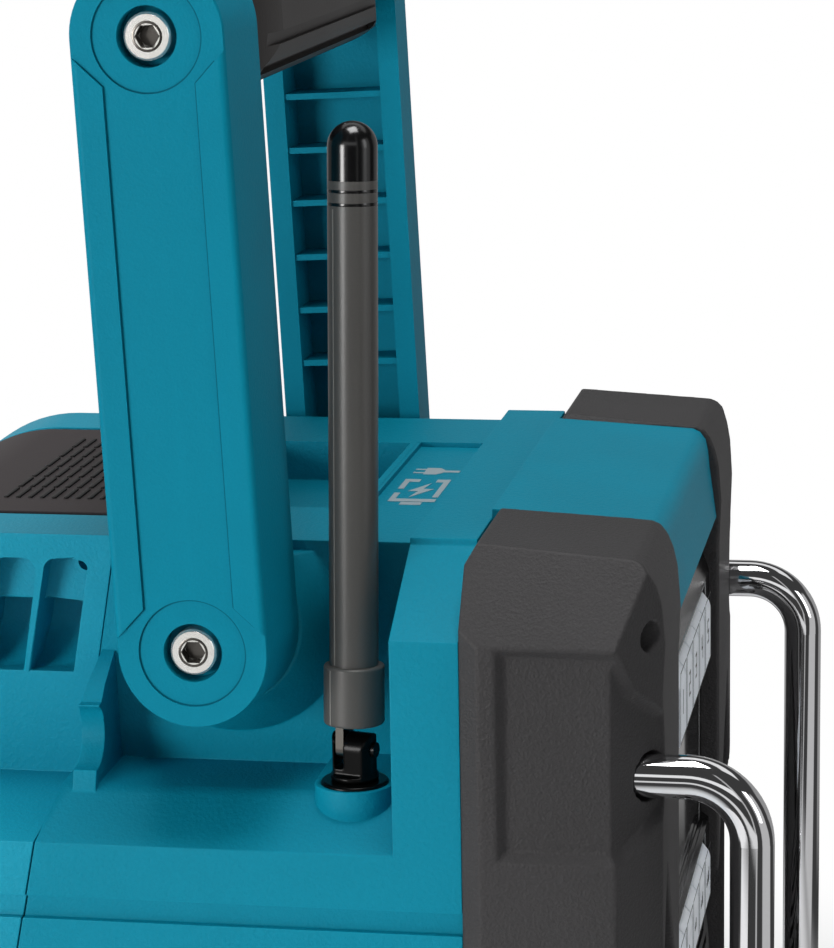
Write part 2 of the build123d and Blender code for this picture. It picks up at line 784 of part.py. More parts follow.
def bumper_solid():
    """The left bumper before its recess, window and holes."""
    front, rear = py(bumper_front_y), py(bumper_rear_y)
    profile = outline(
        (rear, base_z),
        (rear, pz(bumper_rise) - rear_chamfer[1]),
        (rear - rear_chamfer[0], pz(bumper_rise)),
        *[(front + back, pz(bumper_rise - drop)) for back, drop in bumper_edge],
        (front + bumper_back, base_z + 10),
        (front + 8, base_z),
    )
    plan = outline(
        (-bumper_inner_x, front - 5),
        (-corner_in_x, front - 0.5),
        (-bumper_outer_x, py(corner_in_y)),
        (-bumper_outer_x, rear - rear_chamfer[1]),
        (-bumper_outer_x + rear_chamfer[0], rear),
        (-bumper_inner_x, rear),
    )
    face = outline(
        (-bumper_inner_x, base_z),
        (-bumper_inner_x, pz(bumper_rise) - inner_chamfer),
        (-bumper_inner_x - inner_chamfer, pz(bumper_rise)),
        (-bumper_top_x, pz(bumper_rise)),
        (-bumper_outer_x, pz(bumper_side_z)),
        (-bumper_outer_x, base_z + 8),
        (-bumper_outer_x + 8, base_z),
    )
    body = along_x(profile, -bumper_outer_x, -bumper_inner_x)
    body &= along_z(plan, 0, pz(bumper_rise) + 1)
    return body & along_y(face, front - 10, rear)


def side_recess():
    """Shallow recess with sloped rims that wraps round a bumper's front corner, on the left."""
    low, high = side_recess_z
    past = corner_in_y - 8
    side = outline((py(side_recess_y), pz(low)), (py(side_recess_y), pz(high)), (py(past), pz(high) - 0.4),
                   (py(past), pz(low) + 0.4))
    cut = extrude(Plane.YZ.offset(-bumper_outer_x) * side, side_recess_depth, taper=side_recess_slope)
    # the same depth behind the slanting corner face, drawn with distances from its rear edge
    run = bumper_outer_x - corner_in_x
    rise = py(corner_in_y) - py(bumper_front_y) + 0.5
    length = sqrt(run * run + rise * rise)
    corner = Plane(origin=(-bumper_outer_x, py(corner_in_y), pivot_z), x_dir=(run / length, -rise / length, 0),
                   z_dir=(rise / length, run / length, 0))
    facet = outline((-6, -high), (1.5, -high), (9, 8.5), (25.6, 18.8), (29.5, 31), (29.5, 43), (26, 47.5),
                    (5.3, -low), (-6, -low))
    return cut + extrude(corner * facet, side_recess_depth, taper=side_recess_slope)


def make_bumper(side):
    front, inner = py(bumper_front_y), py(front_wall_y)
    body = bumper_solid() - bumper_core() - side_recess()
    body -= along_y(front_window(), front - 5, py(bumper_rear_y) + 1)
    body -= rod_y(speaker_radius + speaker_ring, front - 5, inner, -speaker_x, speaker_z)
    for z in (bar_top_z, bar_bottom_z):
        body -= rod_y(bar_hole_radius, front - 5, inner + 1, -bar_x, pz(z))
    body -= rod_y(screw_hole_radius, front - 5, inner - wall, -screw_x, pz(screw_z))
    body -= rod_y(screw_shank_radius + slack, front - 5, inner + 1, -screw_x, pz(screw_z))
    return body if side < 0 else mirror(body, about=Plane.YZ)


def make_bumper_screws():
    seat = py(front_wall_y) - wall
    head = rod_y(screw_head_radius, seat - screw_head_height, seat, -screw_x, pz(screw_z))
    shank = rod_y(screw_shank_radius, seat - 1, py(front_wall_y) - slack, -screw_x, pz(screw_z))
    hexagon = extrude(RegularPolygon(screw_hex, 6), screw_head_height / 2, both=True)
    socket = Pos(-screw_x, seat - screw_head_height, pz(screw_z)) * Rot(90, 0, 0) * hexagon
    return both(head + shank - socket)


def make_roll_bar(side):
    x = side * bar_x
    front = py(-bar_reach) + bar_radius
    end = py(front_wall_y) + bar_socket
    path = FilletPolyline(
        (x, end, pz(bar_top_z)),
        (x, front, pz(bar_top_z)),
        (x, front, pz(bar_bottom_z)),
        (x, end, pz(bar_bottom_z)),
        radius=bar_bend,
    )
    start = Plane(origin=(x, end, pz(bar_top_z)), x_dir=(1, 0, 0), z_dir=(0, -1, 0))
    return sweep(start * Circle(bar_radius), path=path)


# Front: baffle, grilles, speakers, console


def make_front_baffle():
    y1 = py(front_wall_y) - gap / 3
    y0 = y1 - baffle_thick
    side = along_y(offset(front_window(), -gap, kind=Kind.INTERSECTION), y0, y1)
    side += rod_y(speaker_radius + speaker_ring - gap, y0, y1, -speaker_x, speaker_z)
    low, console_low = base_z + 4, pz(console_bottom_z) - gap
    body = both(side) + block(-bumper_inner_x + wall, bumper_inner_x - wall, y0, y1, low, console_low)
    body -= block(-half_width, half_width, y0 - 1, y1 + 1, -wall, low)
    body -= block(-console_half - gap, console_half + gap, y0 - 1, y1 + 1, console_low, pivot_z)
    for x in (-speaker_x, speaker_x):
        body -= rod_y(speaker_radius - 2, y0 - 1, y1 + 1, x, speaker_z)
    for drop in (volume_knob_drop, tuning_knob_drop):
        body -= rod_y(encoder_neck + gap, y0 - 1, y1 + 1, 0, knob_place(drop))
    return body - both(rod_y(bar_hole_radius, y0 - 1, y1 + 1, -bar_x, pz(bar_bottom_z)))


def make_speaker_grille(side):
    x = side * speaker_x
    y1 = py(front_wall_y) - gap / 3 - baffle_thick
    y0 = y1 - grille_thick
    disc = rod_y(speaker_radius, y0, y1, x, speaker_z)
    disc = chamfer(disc.faces().sort_by(Axis.Y)[0].edges(), 0.8)
    for n in range(slot_count):
        up = (n - (slot_count - 1) / 2) * slot_pitch
        half = sqrt(slot_room ** 2 - (abs(up) + slot_height / 2) ** 2)
        z = speaker_z + up
        disc -= block(x - half, x + half, y0 - 1, y1 + 1, z - slot_height / 2, z + slot_height / 2)
    return disc + rod_y(grille_hub, y0 - 0.8, y1, x, speaker_z)


def make_speaker_frame(side):
    x = side * speaker_x
    y0 = py(front_wall_y)
    back = y0 + speaker_rim
    ring = rod_y(speaker_radius, y0, back, x, speaker_z)
    bowl = Rot(-90, 0, 0) * Cone(speaker_radius - 4, pole_radius, bowl_depth)
    bowl = Pos(x, back + bowl_depth / 2, speaker_z) * bowl
    inner = Cone(speaker_radius - 6, pole_radius - 4, bowl_depth + 2 * slack)
    hole = Pos(x, back + bowl_depth / 2 - speaker_rim, speaker_z) * Rot(-90, 0, 0) * inner
    body = ring + bowl - hole - rod_y(speaker_radius - 6, y0 - 1, y0 + 1, x, speaker_z)
    vent = Box(cone_neck + 4, cone_neck, pole_radius)
    for n in range(4):
        turn = Pos(x, back + bowl_depth / 2, speaker_z) * Rot(0, 45 + 90 * n, 0)
        body -= turn * Pos(pole_radius + cone_neck / 2, 0, 0) * vent
    return body


def make_speaker_cone(side):
    x = side * speaker_x
    depth = bowl_depth - pole_depth
    y0 = py(front_wall_y) + 1
    outer = Pos(x, y0 + depth / 2, speaker_z) * Rot(-90, 0, 0) * Cone(cone_radius, cone_neck, depth)
    inner = Pos(x, y0 + depth / 2 - 1, speaker_z) * Rot(-90, 0, 0) * Cone(cone_radius, cone_neck, depth)
    cap = rod_y(cone_neck + 0.6, y0 + depth - pole_depth, y0 + depth, x, speaker_z)
    return outer - inner + cap


def make_speaker_magnet(side):
    x = side * speaker_x
    y0 = py(front_wall_y) + speaker_rim + bowl_depth
    pole = rod_y(pole_radius, y0, y0 + pole_depth, x, speaker_z)
    return pole + rod_y(magnet_radius, y0 + pole_depth, y0 + pole_depth + magnet_depth, x, speaker_z)


def key_window(top_z, height):
    half = key_count * key_pitch / 2 + gap
    low, high = pz(top_z - height) - gap, pz(top_z) + gap
    return (-half, half, py(console_front_y) - 1, py(front_wall_y) + 1, low, high)


def make_console_frame():
    y1 = py(front_wall_y) - gap / 3
    front = py(console_front_y)
    face = outline(
        (y1, pz(console_bottom_z)),
        (y1, pz(console_top_z)),
        (front + console_slope, pz(console_top_z)),
        (front, pz(key_top_z) + console_border),
        (front, pz(lens_top_z) + console_border),
        (front + lens_sink, pz(lens_top_z) + gap),
        (front + lens_sink, pz(lens_bottom_z) - gap),
        (front, pz(lens_bottom_z) - console_border),
        (front, pz(console_bottom_z) + console_chamfer),
        (front + console_chamfer, pz(console_bottom_z)),
    )
    body = along_x(face, -console_half, console_half)
    body -= block(*key_window(key_top_z, key_height))
    body -= block(*key_window(low_key_top_z, low_key_height))
    seat = front + lens_sink
    half = lens_half + gap
    low, high = pz(lens_bottom_z) - gap, pz(lens_top_z) + gap
    body -= block(-half, half, seat - 1, seat + lens_thick + gap, low, high)
    half = lens_half - lens_lap
    body -= block(-half, half, seat - 1, y1 + 1, pz(lens_bottom_z) + lens_lap, pz(lens_top_z) - lens_lap)
    return body


def make_display_lens():
    y0 = py(console_front_y) + lens_sink
    return block(-lens_half, lens_half, y0, y0 + lens_thick, pz(lens_bottom_z), pz(lens_top_z))


def make_display_module():
    y0 = py(console_front_y) + lens_sink + lens_thick + gap
    half = lens_half - lens_lap - gap
    return block(-half, half, y0, board_front_y() - gap, pz(lens_bottom_z) + lens_lap + gap,
                 pz(lens_top_z) - lens_lap - gap)


def board_front_y():
    return py(front_wall_y) + wall + gap


def make_key(n, top_z, height):
    x = (n - (key_count - 1) / 2) * key_pitch
    half = (key_pitch - key_gap) / 2
    back = board_front_y() - mat_thick - key_travel - gap
    front = py(console_front_y) - key_proud
    low, high = pz(top_z - height), pz(top_z)
    face = outline((back, low), (back, high), (front + 4.0, high), (front + 0.6, high - 4.4),
                   (front, high - 6.5), (front, low + 1.0), (front + 1.0, low))
    return along_x(face, x - half, x + half)


def make_keypad_mat():
    half = key_count * key_pitch / 2 - 1
    y1 = board_front_y()
    mats = []
    for top, height in ((key_top_z, key_height), (low_key_top_z, low_key_height)):
        mats.append(block(-half, half, y1 - mat_thick, y1, pz(top - height) + 1, pz(top) - 1))
    return mats[0] + mats[1]


def make_main_board():
    y0 = board_front_y()
    y1 = y0 + board_thick
    half = console_half - lens_lap
    body = block(-half, half, y0, y1, pz(console_bottom_z) + 2, pz(key_top_z) + 3)
    for x, z, w, h in ((-30, -60, 22, 22), (12, -75, 30, 14), (34, -55, 12, 12)):
        body += block(x - w / 2, x + w / 2, y1, y1 + chip_height, pz(z) - h / 2, pz(z) + h / 2)
    return body


def knob_place(drop):
    return pz(console_bottom_z) - drop


def make_knob(radius, drop):
    y1 = py(front_wall_y) - gap / 3 - baffle_thick - gap
    z = knob_place(drop)
    body = rod_y(radius, y1 - knob_front, y1, 0, z)
    body = chamfer(body.faces().sort_by(Axis.Y)[0].edges(), 1.6)
    for n in range(knob_ribs):
        turn = Pos(0, y1 - knob_front / 2 - 1, z) * Rot(0, n * 360 / knob_ribs, 0) * Pos(radius + 0.4, 0, 0)
        body -= turn * Box(knob_rib_width, knob_front, knob_rib_width)
    return body - rod_y(knob_shaft_radius + 0.02, y1 - knob_front + 5, y1 + 1, 0, z)


def make_knob_shaft(drop):
    y1 = py(front_wall_y) - gap / 3 - baffle_thick - gap
    return rod_y(knob_shaft_radius, y1 - knob_front + 6, py(front_wall_y) + 8, 0, knob_place(drop))


def make_encoder(drop):
    y0 = py(front_wall_y)
    z = knob_place(drop)
    half = encoder_size / 2
    body = block(-half, half, y0 + 1, y0 + 1 + encoder_depth, z - half, z + half)
    body += rod_y(encoder_neck, y0 - baffle_thick + gap, y0 + 1, 0, z)
    return body - rod_y(knob_shaft_radius + slack, y0 - 2 * baffle_thick, y0 + encoder_depth + 2, 0, z)


# Handle


def stadium(length, radius):
    return Pos(0, length / 2) * Rot(0, 0, 90) * SlotOverall(length + 2 * radius, 2 * radius)


def lean_back(shape):
    """Carries a shape drawn upright on the pivot line to its place, leaning back."""
    return Pos(0, pivot_y, pivot_z) * Rot(-handle_lean, 0, 0) * shape


def mid_panel():
    """The lower part of an arm's outer face: between the raised strips, and round both ends."""
    far = arm_radius + 2
    out = far - strip_inner
    top = arm_length
    return outline(
        (-strip_inner, strip_inner),
        (-far, strip_inner - out),
        (-far, -far),
        (far, -far),
        (far, strip_inner - out),
        (strip_inner, strip_inner),
        (strip_inner, top - strip_inner),
        (far, top - strip_inner + out),
        (far, top + far),
        (-far, top + far),
        (-far, top - strip_inner + out),
        (-strip_inner, top - strip_inner),
    )


def upright_arm():
    """The left arm, upright: a tapered bar with a ribbed recess inside and raised strips outside."""
    outer = -arm_outer_x
    inner = outer + arm_thick
    body = extrude(Plane.YZ.offset(outer) * stadium(arm_length, arm_radius), arm_thick, taper=-arm_taper)
    body = fillet(body.faces().sort_by(Axis.X)[0].edges(), arm_edge_radius)
    body -= along_x(mid_panel(), outer - 1, outer + strip_height)
    hollow = Plane.YZ.offset(inner) * stadium(arm_length, arm_recess_half)
    hollow = extrude(hollow, -arm_recess_depth, taper=2)
    for z in (0, arm_length):
        hollow -= rod_x(hub_radius, outer, inner + 1, 0, z)
    side = arm_recess_half + 2
    for z in rib_places:
        hollow -= block(outer, inner - rib_inset, -side, side, z - rib_thick / 2, z + rib_thick / 2)
    body -= hollow
    for z in (0, arm_length):
        body -= rod_x(ring_radius, outer - 1, outer + strip_height + ring_step, 0, z)
        body -= rod_x(counterbore_radius, outer - 1, outer + bolt_sink, 0, z)
        body -= rod_x(bolt_radius + slack, outer - 1, inner + 1, 0, z)
    return body


def make_handle_arm(side):
    arm = lean_back(upright_arm())
    return arm if side < 0 else mirror(arm, about=Plane.YZ)


def grip_half(end_inset, reach):
    """Outline over a grip's length: straight in the middle and rounded towards the arms."""
    half = arm_outer_x - arm_thick - gap
    bend = (grip_straight + half) / 2 + 3
    near, middle = reach - end_inset, reach - 0.22 * end_inset
    right = ThreePointArc((grip_straight, reach), (bend, middle), (half, near))
    down = Line((half, near), (half, -near))
    lower = ThreePointArc((half, -near), (bend, -middle), (grip_straight, -reach))
    low = Line((grip_straight, -reach), (-grip_straight, -reach))
    left_low = ThreePointArc((-grip_straight, -reach), (-bend, -middle), (-half, -near))
    up = Line((-half, -near), (-half, near))
    left = ThreePointArc((-half, near), (-bend, middle), (-grip_straight, reach))
    top = Line((-grip_straight, reach), (grip_straight, reach))
    return make_face(right + down + lower + low + left_low + up + left + top)


def make_grip_rubber():
    half = arm_outer_x - arm_thick - gap
    section = RectangleRounded(grip_width, grip_height, grip_corner)
    body = extrude(Plane.YZ.offset(-half) * section, 2 * half)
    body &= along_y(grip_half(grip_end_inset, grip_height / 2), -grip_width, grip_width)
    body &= along_z(grip_half(grip_end_inset, grip_width / 2), -grip_height, grip_height)
    flat_y, flat_z = grip_width / 2 - grip_corner, grip_height / 2 - grip_corner
    for angle in channel_angles:
        way_y, way_z = -cos(radians(angle)), sin(radians(angle))
        y = way_y * grip_corner + (flat_y if way_y > 0 else -flat_y)
        z = way_z * grip_corner + (flat_z if way_z > 0 else -flat_z)
        body -= Pos(0, y, z) * Rot(-angle, 0, 0) * Box(2 * channel_half, 2 * channel_depth, channel_width)
    body -= rod_x(grip_core_radius + 0.02, -half - 1, half + 1, 0, 0)
    return lean_back(Pos(0, 0, arm_length) * body)


def make_grip_core():
    half = arm_outer_x - arm_thick - gap
    thread = bolt_sink + bolt_length - arm_thick + 1
    body = rod_x(grip_core_radius, -half, half, 0, arm_length)
    for x0, x1 in ((-half - 1, -half + thread), (half - thread, half + 1)):
        body -= rod_x(bolt_radius + 0.02, x0, x1, 0, arm_length)
    return lean_back(body)


def bolt_at(z):
    """A socket head bolt in the left arm, upright."""
    x0 = -arm_outer_x + bolt_sink - bolt_head_height
    head = rod_x(bolt_head_radius, x0, x0 + bolt_head_height, 0, z)
    head = chamfer(head.faces().sort_by(Axis.X)[0].edges(), 0.6)
    shank = rod_x(bolt_radius, x0 + bolt_head_height, x0 + bolt_head_height + bolt_length, 0, z)
    hexagon = RegularPolygon(bolt_hex / 2, 6, major_radius=False)
    socket = extrude(Plane.YZ.offset(x0 - 1) * Pos(0, z) * hexagon, 5)
    return head + shank - socket


def make_pivot_bolts():
    return both(Pos(0, pivot_y, pivot_z) * bolt_at(0))


def make_grip_bolts():
    return both(lean_back(bolt_at(arm_length)))


def make_pivot_washers():
    x0 = -arm_outer_x + arm_thick + gap
    ring = rod_x(washer_radius, x0, x0 + washer_thick, py(0), pz(0))
    return both(ring - rod_x(bolt_radius + 0.3, x0 - 1, x0 + 3, py(0), pz(0)))


# Antenna


def antenna_frame():
    """Local frame at the antenna's pin: X along the pin, Y the way it folds, Z up."""
    return Pos(antenna_x, py(antenna_y), pz(pin_z)) * Rot(0, 0, pin_turn)


def make_antenna_flange():
    x, y, top = antenna_x, py(antenna_y), pz(boss_top_z)
    ring = rod_z(flange_radius, top - flange_seat + slack, top + flange_rise, x, y)
    ring = fillet(ring.faces().sort_by(Axis.Z)[-1].edges(), 0.8)
    return ring - rod_z(antenna_swivel_radius + gap, top - 2 * flange_seat, top + 2 * flange_rise, x, y)


def make_antenna_swivel():
    """Slotted knuckle on a round foot that turns in the boss."""
    foot_low = boss_top_z - swivel_depth - pin_z
    disc_low = boss_top_z + flange_rise + gap - pin_z
    foot = rod_z(antenna_swivel_radius, foot_low, disc_low + 1, 0, 0)
    disc = rod_z(swivel_disc_radius, disc_low, disc_low + 1.6, 0, 0)
    post = block(-knuckle_width / 2, knuckle_width / 2, -knuckle_half, knuckle_half, disc_low, 0)
    eye = rod_x(knuckle_half, -knuckle_width / 2, knuckle_width / 2, 0, 0)
    knuckle = (post + eye) & rod_z(knuckle_width / 2 + 0.3, disc_low, knuckle_half + 1, 0, 0)
    body = foot + disc + knuckle
    half = tang_width / 2 + gap
    left, right = tang_shift - half, tang_shift + half
    body -= block(left, right, -knuckle_width, knuckle_width, -knuckle_half - 0.5, 9)
    body -= rod_x(antenna_pin_radius, -knuckle_width, knuckle_width, 0, 0)
    return antenna_frame() * body


def make_antenna_pin():
    half = knuckle_width / 2
    pin = rod_x(antenna_pin_radius, -half, half - 0.5, 0, 0)
    return antenna_frame() * (pin + rod_x(pin_head_radius, -half - 0.9, -half - 0.02, 0, 0))


def lean_antenna(shape):
    """The antenna leans a little against the way that it folds."""
    return antenna_frame() * Rot(antenna_lean, 0, 0) * shape


def make_antenna_rod():
    tang = block(tang_shift - tang_width / 2, tang_shift + tang_width / 2, -3.5, 3.5, 0, collar_low + 1)
    eye = rod_x(3.5, tang_shift - tang_width / 2, tang_shift + tang_width / 2, 0, 0)
    head = rod_z(rod_head_radius, collar_low, collar_low + rod_head_height, 0, 0)
    core = rod_z(core_radius, collar_low, sleeve_high - 4, 0, 0)
    body = eye + tang + head + core
    body -= rod_x(antenna_pin_radius + slack, -knuckle_width, knuckle_width, 0, 0)
    return lean_antenna(body)


def make_antenna_sleeve():
    collar = rod_z(collar_radius, collar_low, collar_high, 0, 0)
    collar = fillet(collar.edges().filter_by(GeomType.CIRCLE), 0.8)
    body = collar + rod_z(sleeve_radius, collar_low + 1, sleeve_high, 0, 0)
    body -= rod_z(core_radius + 0.02, collar_low - 1, sleeve_high - 4, 0, 0)
    body -= rod_z(rod_head_radius + 0.02, collar_low - 1, collar_low + rod_head_height + 0.02, 0, 0)
    for z in (sleeve_high - 2.8, sleeve_high - 6.4):
        ring = rod_z(sleeve_radius + 1, z - 0.45, z + 0.45, 0, 0)
        body -= ring - rod_z(sleeve_radius - 0.35, z - 1, z + 1, 0, 0)
    return lean_antenna(body)


def make_antenna_cap():
    low = sleeve_high + 0.02
    shoulder = cap_high - sleeve_radius
    dome = Pos(0, 0, shoulder) * Sphere(sleeve_radius)
    dome &= block(-collar_radius, collar_radius, -collar_radius, collar_radius, shoulder, cap_high + 1)
    return lean_antenna(rod_z(sleeve_radius, low, shoulder, 0, 0) + dome)


def make_feet():
    feet = []
    for x, y in foot_places:
        pad = Pos(x, y, base_z / 2) * Cone(foot_radius - foot_taper, foot_radius, base_z)
        feet.append(pad + rod_z(foot_stem_radius, base_z, base_z + wall, x, y))
    return feet[0] + feet[1] + feet[2] + feet[3]


nodes = {
    "front_housing": make_front_housing(),
    "rear_door": make_rear_door(),
    "door_hinge_pins": make_hinge_pins(),
    "latch_lever": make_latch_lever(),
    "latch_pad": make_latch_pad(),
    "latch_pin": make_latch_pin(),
    "rear_chassis": make_rear_chassis(),
    "terminal_block": make_terminal_block(),
    "door_gasket": make_door_gasket(),
    "ac_inlet": make_ac_inlet(),
    "bumper_left": make_bumper(-1),
    "bumper_right": make_bumper(1),
    "bumper_screws": make_bumper_screws(),
    "roll_bar_left": make_roll_bar(-1),
    "roll_bar_right": make_roll_bar(1),
    "front_baffle": make_front_baffle(),
    "speaker_grille_left": make_speaker_grille(-1),
    "speaker_grille_right": make_speaker_grille(1),
    "speaker_frame_left": make_speaker_frame(-1),
    "speaker_frame_right": make_speaker_frame(1),
    "speaker_cone_left": make_speaker_cone(-1),
    "speaker_cone_right": make_speaker_cone(1),
    "speaker_magnet_left": make_speaker_magnet(-1),
    "speaker_magnet_right": make_speaker_magnet(1),
    "console_frame": make_console_frame(),
    "display_lens": make_display_lens(),
    "display_module": make_display_module(),
    "keypad_mat": make_keypad_mat(),
    "main_board": make_main_board(),
    "volume_knob": make_knob(volume_knob_radius, volume_knob_drop),
    "tuning_knob": make_knob(tuning_knob_radius, tuning_knob_drop),
    "volume_shaft": make_knob_shaft(volume_knob_drop),
    "tuning_shaft": make_knob_shaft(tuning_knob_drop),
    "volume_encoder": make_encoder(volume_knob_drop),
    "tuning_encoder": make_encoder(tuning_knob_drop),
    "handle_arm_left": make_handle_arm(-1),
    "handle_arm_right": make_handle_arm(1),
    "grip_rubber": make_grip_rubber(),
    "grip_core": make_grip_core(),
    "grip_bolts": make_grip_bolts(),
    "pivot_bolts": make_pivot_bolts(),
    "pivot_washers": make_pivot_washers(),
    "antenna_flange": make_antenna_flange(),
    "antenna_swivel": make_antenna_swivel(),
    "antenna_pin": make_antenna_pin(),
    "antenna_rod": make_antenna_rod(),
    "antenna_sleeve": make_antenna_sleeve(),
    "antenna_cap": make_antenna_cap(),
    "feet": make_feet(),
}
for n in range(key_count):
    nodes[f"key_{n + 1}"] = make_key(n, key_top_z, key_height)
    nodes[f"function_key_{n + 1}"] = make_key(n, low_key_top_z, low_key_height)

for name, shape in nodes.items():
    export_step(shape, f"parts/{name}.step")
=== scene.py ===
import bpy
import bmesh
import json
import math
from mathutils import Matrix, Vector
from mathutils.bvhtree import BVHTree
from mathutils.geometry import intersect_point_line

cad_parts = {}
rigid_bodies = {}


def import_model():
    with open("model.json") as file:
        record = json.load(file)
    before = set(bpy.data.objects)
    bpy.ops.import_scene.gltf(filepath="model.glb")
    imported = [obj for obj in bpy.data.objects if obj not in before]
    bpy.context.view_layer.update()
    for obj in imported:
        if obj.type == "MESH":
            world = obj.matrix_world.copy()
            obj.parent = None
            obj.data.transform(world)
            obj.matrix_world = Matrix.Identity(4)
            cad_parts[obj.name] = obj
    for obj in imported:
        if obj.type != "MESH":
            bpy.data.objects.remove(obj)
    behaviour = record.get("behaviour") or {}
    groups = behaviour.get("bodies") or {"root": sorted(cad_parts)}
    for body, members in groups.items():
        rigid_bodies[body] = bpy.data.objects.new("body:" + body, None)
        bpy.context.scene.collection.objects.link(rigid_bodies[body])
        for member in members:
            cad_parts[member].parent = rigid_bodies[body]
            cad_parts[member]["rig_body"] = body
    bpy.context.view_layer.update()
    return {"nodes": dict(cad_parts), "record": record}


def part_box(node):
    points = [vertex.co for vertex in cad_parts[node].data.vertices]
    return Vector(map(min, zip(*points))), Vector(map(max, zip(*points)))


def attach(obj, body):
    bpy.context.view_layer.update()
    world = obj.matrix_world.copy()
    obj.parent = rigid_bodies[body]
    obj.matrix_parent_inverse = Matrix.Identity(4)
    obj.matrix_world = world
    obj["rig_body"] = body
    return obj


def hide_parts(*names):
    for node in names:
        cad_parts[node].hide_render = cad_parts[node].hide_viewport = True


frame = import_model()
nodes = frame["nodes"]
mm = 0.001
# the handle's pivot line, which the pieces' places are measured from
pivotY = 0.01035
pivotZ = 0.253
skyZ = 0.5                 # above the whole object: rays are cast down from here
flatAngle = 35             # degrees: an edge sharper than this shows as a crease on flat-sided pieces
roundAngle = 60            # and on turned or moulded ones


# node helpers

def newGroup(name, inputs, outputs):
    group = bpy.data.node_groups.new(name, "ShaderNodeTree")
    for label, kind, value in inputs:
        socket = group.interface.new_socket(label, in_out="INPUT", socket_type=kind)
        if value is not None:
            socket.default_value = value
    for label, kind in outputs:
        group.interface.new_socket(label, in_out="OUTPUT", socket_type=kind)
    return group, group.nodes.new("NodeGroupInput"), group.nodes.new("NodeGroupOutput")


def groupNode(tree, group):
    node = tree.nodes.new("ShaderNodeGroup")
    node.node_tree = group
    return node


def setInputs(node, values):
    for label, value in values.items():
        node.inputs[label].default_value = value


def feed(tree, socket, value):
    if isinstance(value, (int, float, tuple)):
        socket.default_value = value
    else:
        tree.links.new(value, socket)


def mathNode(tree, operation, *values):
    node = tree.nodes.new("ShaderNodeMath")
    node.operation = operation
    for n, value in enumerate(values):
        feed(tree, node.inputs[n], value)
    return node.outputs[0]


def stepUp(tree, value, low, high):
    node = tree.nodes.new("ShaderNodeMapRange")
    node.interpolation_type = "SMOOTHSTEP"
    feed(tree, node.inputs["Value"], value)
    setInputs(node, {"From Min": low, "From Max": high})
    return node.outputs["Result"]


def band(tree, value, low, high, soft):
    # 1 between low and high, 0 outside
    up = stepUp(tree, value, low - soft, low + soft)
    down = stepUp(tree, value, high - soft, high + soft)
    return mathNode(tree, "SUBTRACT", up, down)


def noiseNode(tree, coords, scale, detail, rough):
    node = tree.nodes.new("ShaderNodeTexNoise")
    setInputs(node, {"Detail": detail, "Roughness": rough})
    feed(tree, node.inputs["Vector"], coords)
    feed(tree, node.inputs["Scale"], scale)
    return node.outputs["Fac"]


def mixColour(tree, factor, first, second):
    # sockets 6 and 7 are the node's two colours, and output 2 is its colour result
    node = tree.nodes.new("ShaderNodeMix")
    node.data_type = "RGBA"
    for socket, value in ((node.inputs["Factor"], factor), (node.inputs[6], first), (node.inputs[7], second)):
        feed(tree, socket, value)
    return node.outputs[2]


# camera, light and floor

cameraLook = {
    "place": (-0.98283, -0.20697, 0.49038),
    "right": (0.17404, -0.98458, -0.01782),
    "up": (0.20995, 0.01942, 0.97753),
    "lens": 141.98,
    "sensorWidth": 36.0,
    "nearest": 0.01,
}


def makeCamera(look):
    camera = bpy.data.objects.new("camera", bpy.data.cameras.new("camera"))
    bpy.context.scene.collection.objects.link(camera)
    right = Vector(look["right"]).normalized()
    up = Vector(look["up"])
    up = (up - right * up.dot(right)).normalized()
    back = right.cross(up)
    turn = Matrix((right, up, back)).transposed().to_4x4()
    camera.matrix_world = Matrix.Translation(look["place"]) @ turn
    camera.data.sensor_fit = "HORIZONTAL"
    camera.data.sensor_width = look["sensorWidth"]
    camera.data.lens = look["lens"]
    camera.data.clip_start = look["nearest"]
    bpy.context.scene.camera = camera


lampLook = {
    # name: place, aim, size across and up, power, colour
    "keyLamp": ((-1.15, 0.85, 0.38), (0, 0, 0.16), (0.55, 0.45), 12.5, (1.0, 0.99, 0.98)),
    "fillLamp": ((-0.7, -1.9, 0.8), (0, 0, 0.2), (0.5, 1.1), 4.0, (0.97, 0.98, 1.0)),
    "topLamp": ((-0.15, -0.1, 1.9), (0, 0, 0.2), (0.8, 0.8), 20.0, (1.0, 1.0, 1.0)),
    "backLamp": ((1.5, 1.2, 1.2), (0, 0, 0.2), (1.0, 1.0), 5.0, (1.0, 1.0, 1.0)),
}


def makeLamp(name, look):
    place, aim, size, power, colour = look
    data = bpy.data.lights.new(name, "AREA")
    data.shape = "RECTANGLE"
    data.size, data.size_y = size
    data.energy = power
    data.color = colour
    lamp = bpy.data.objects.new(name, data)
    bpy.context.scene.collection.objects.link(lamp)
    lamp.location = place
    lamp.rotation_euler = (Vector(aim) - Vector(place)).to_track_quat("-Z", "Y").to_euler()


studioLook = {
    "ambient": 0.2,
    "dark": 0.05,
    # soft boxes: azimuth low and high from +X, elevation low and high, softness (radians), brightness
    "boxes": (
        (-2.15, -1.45, -0.50, 0.50, 0.05, 0.55),
        (-1.00, 1.00, -0.35, 0.36, 0.08, 0.34),
        (-1.20, 1.20, 0.74, 1.05, 0.03, 0.90),
        (-3.20, -2.60, 0.17, 0.40, 0.02, 0.95),
        (2.55, 3.20, 0.17, 0.40, 0.02, 0.95),
        (-3.20, -2.50, -0.26, -0.16, 0.02, 0.80),
        (2.50, 3.20, -0.26, -0.16, 0.02, 0.80),
        (2.55, 3.20, -0.62, -0.30, 0.06, 1.00),
        (-2.62, -2.52, -0.60, 0.90, 0.02, 0.50),
        (2.86, 2.92, -0.60, 0.90, 0.01, 0.55),
        (1.75, 2.05, -0.50, 0.90, 0.03, 0.60),
        (1.05, 1.50, -0.40, 0.80, 0.06, 0.22),
    ),
}


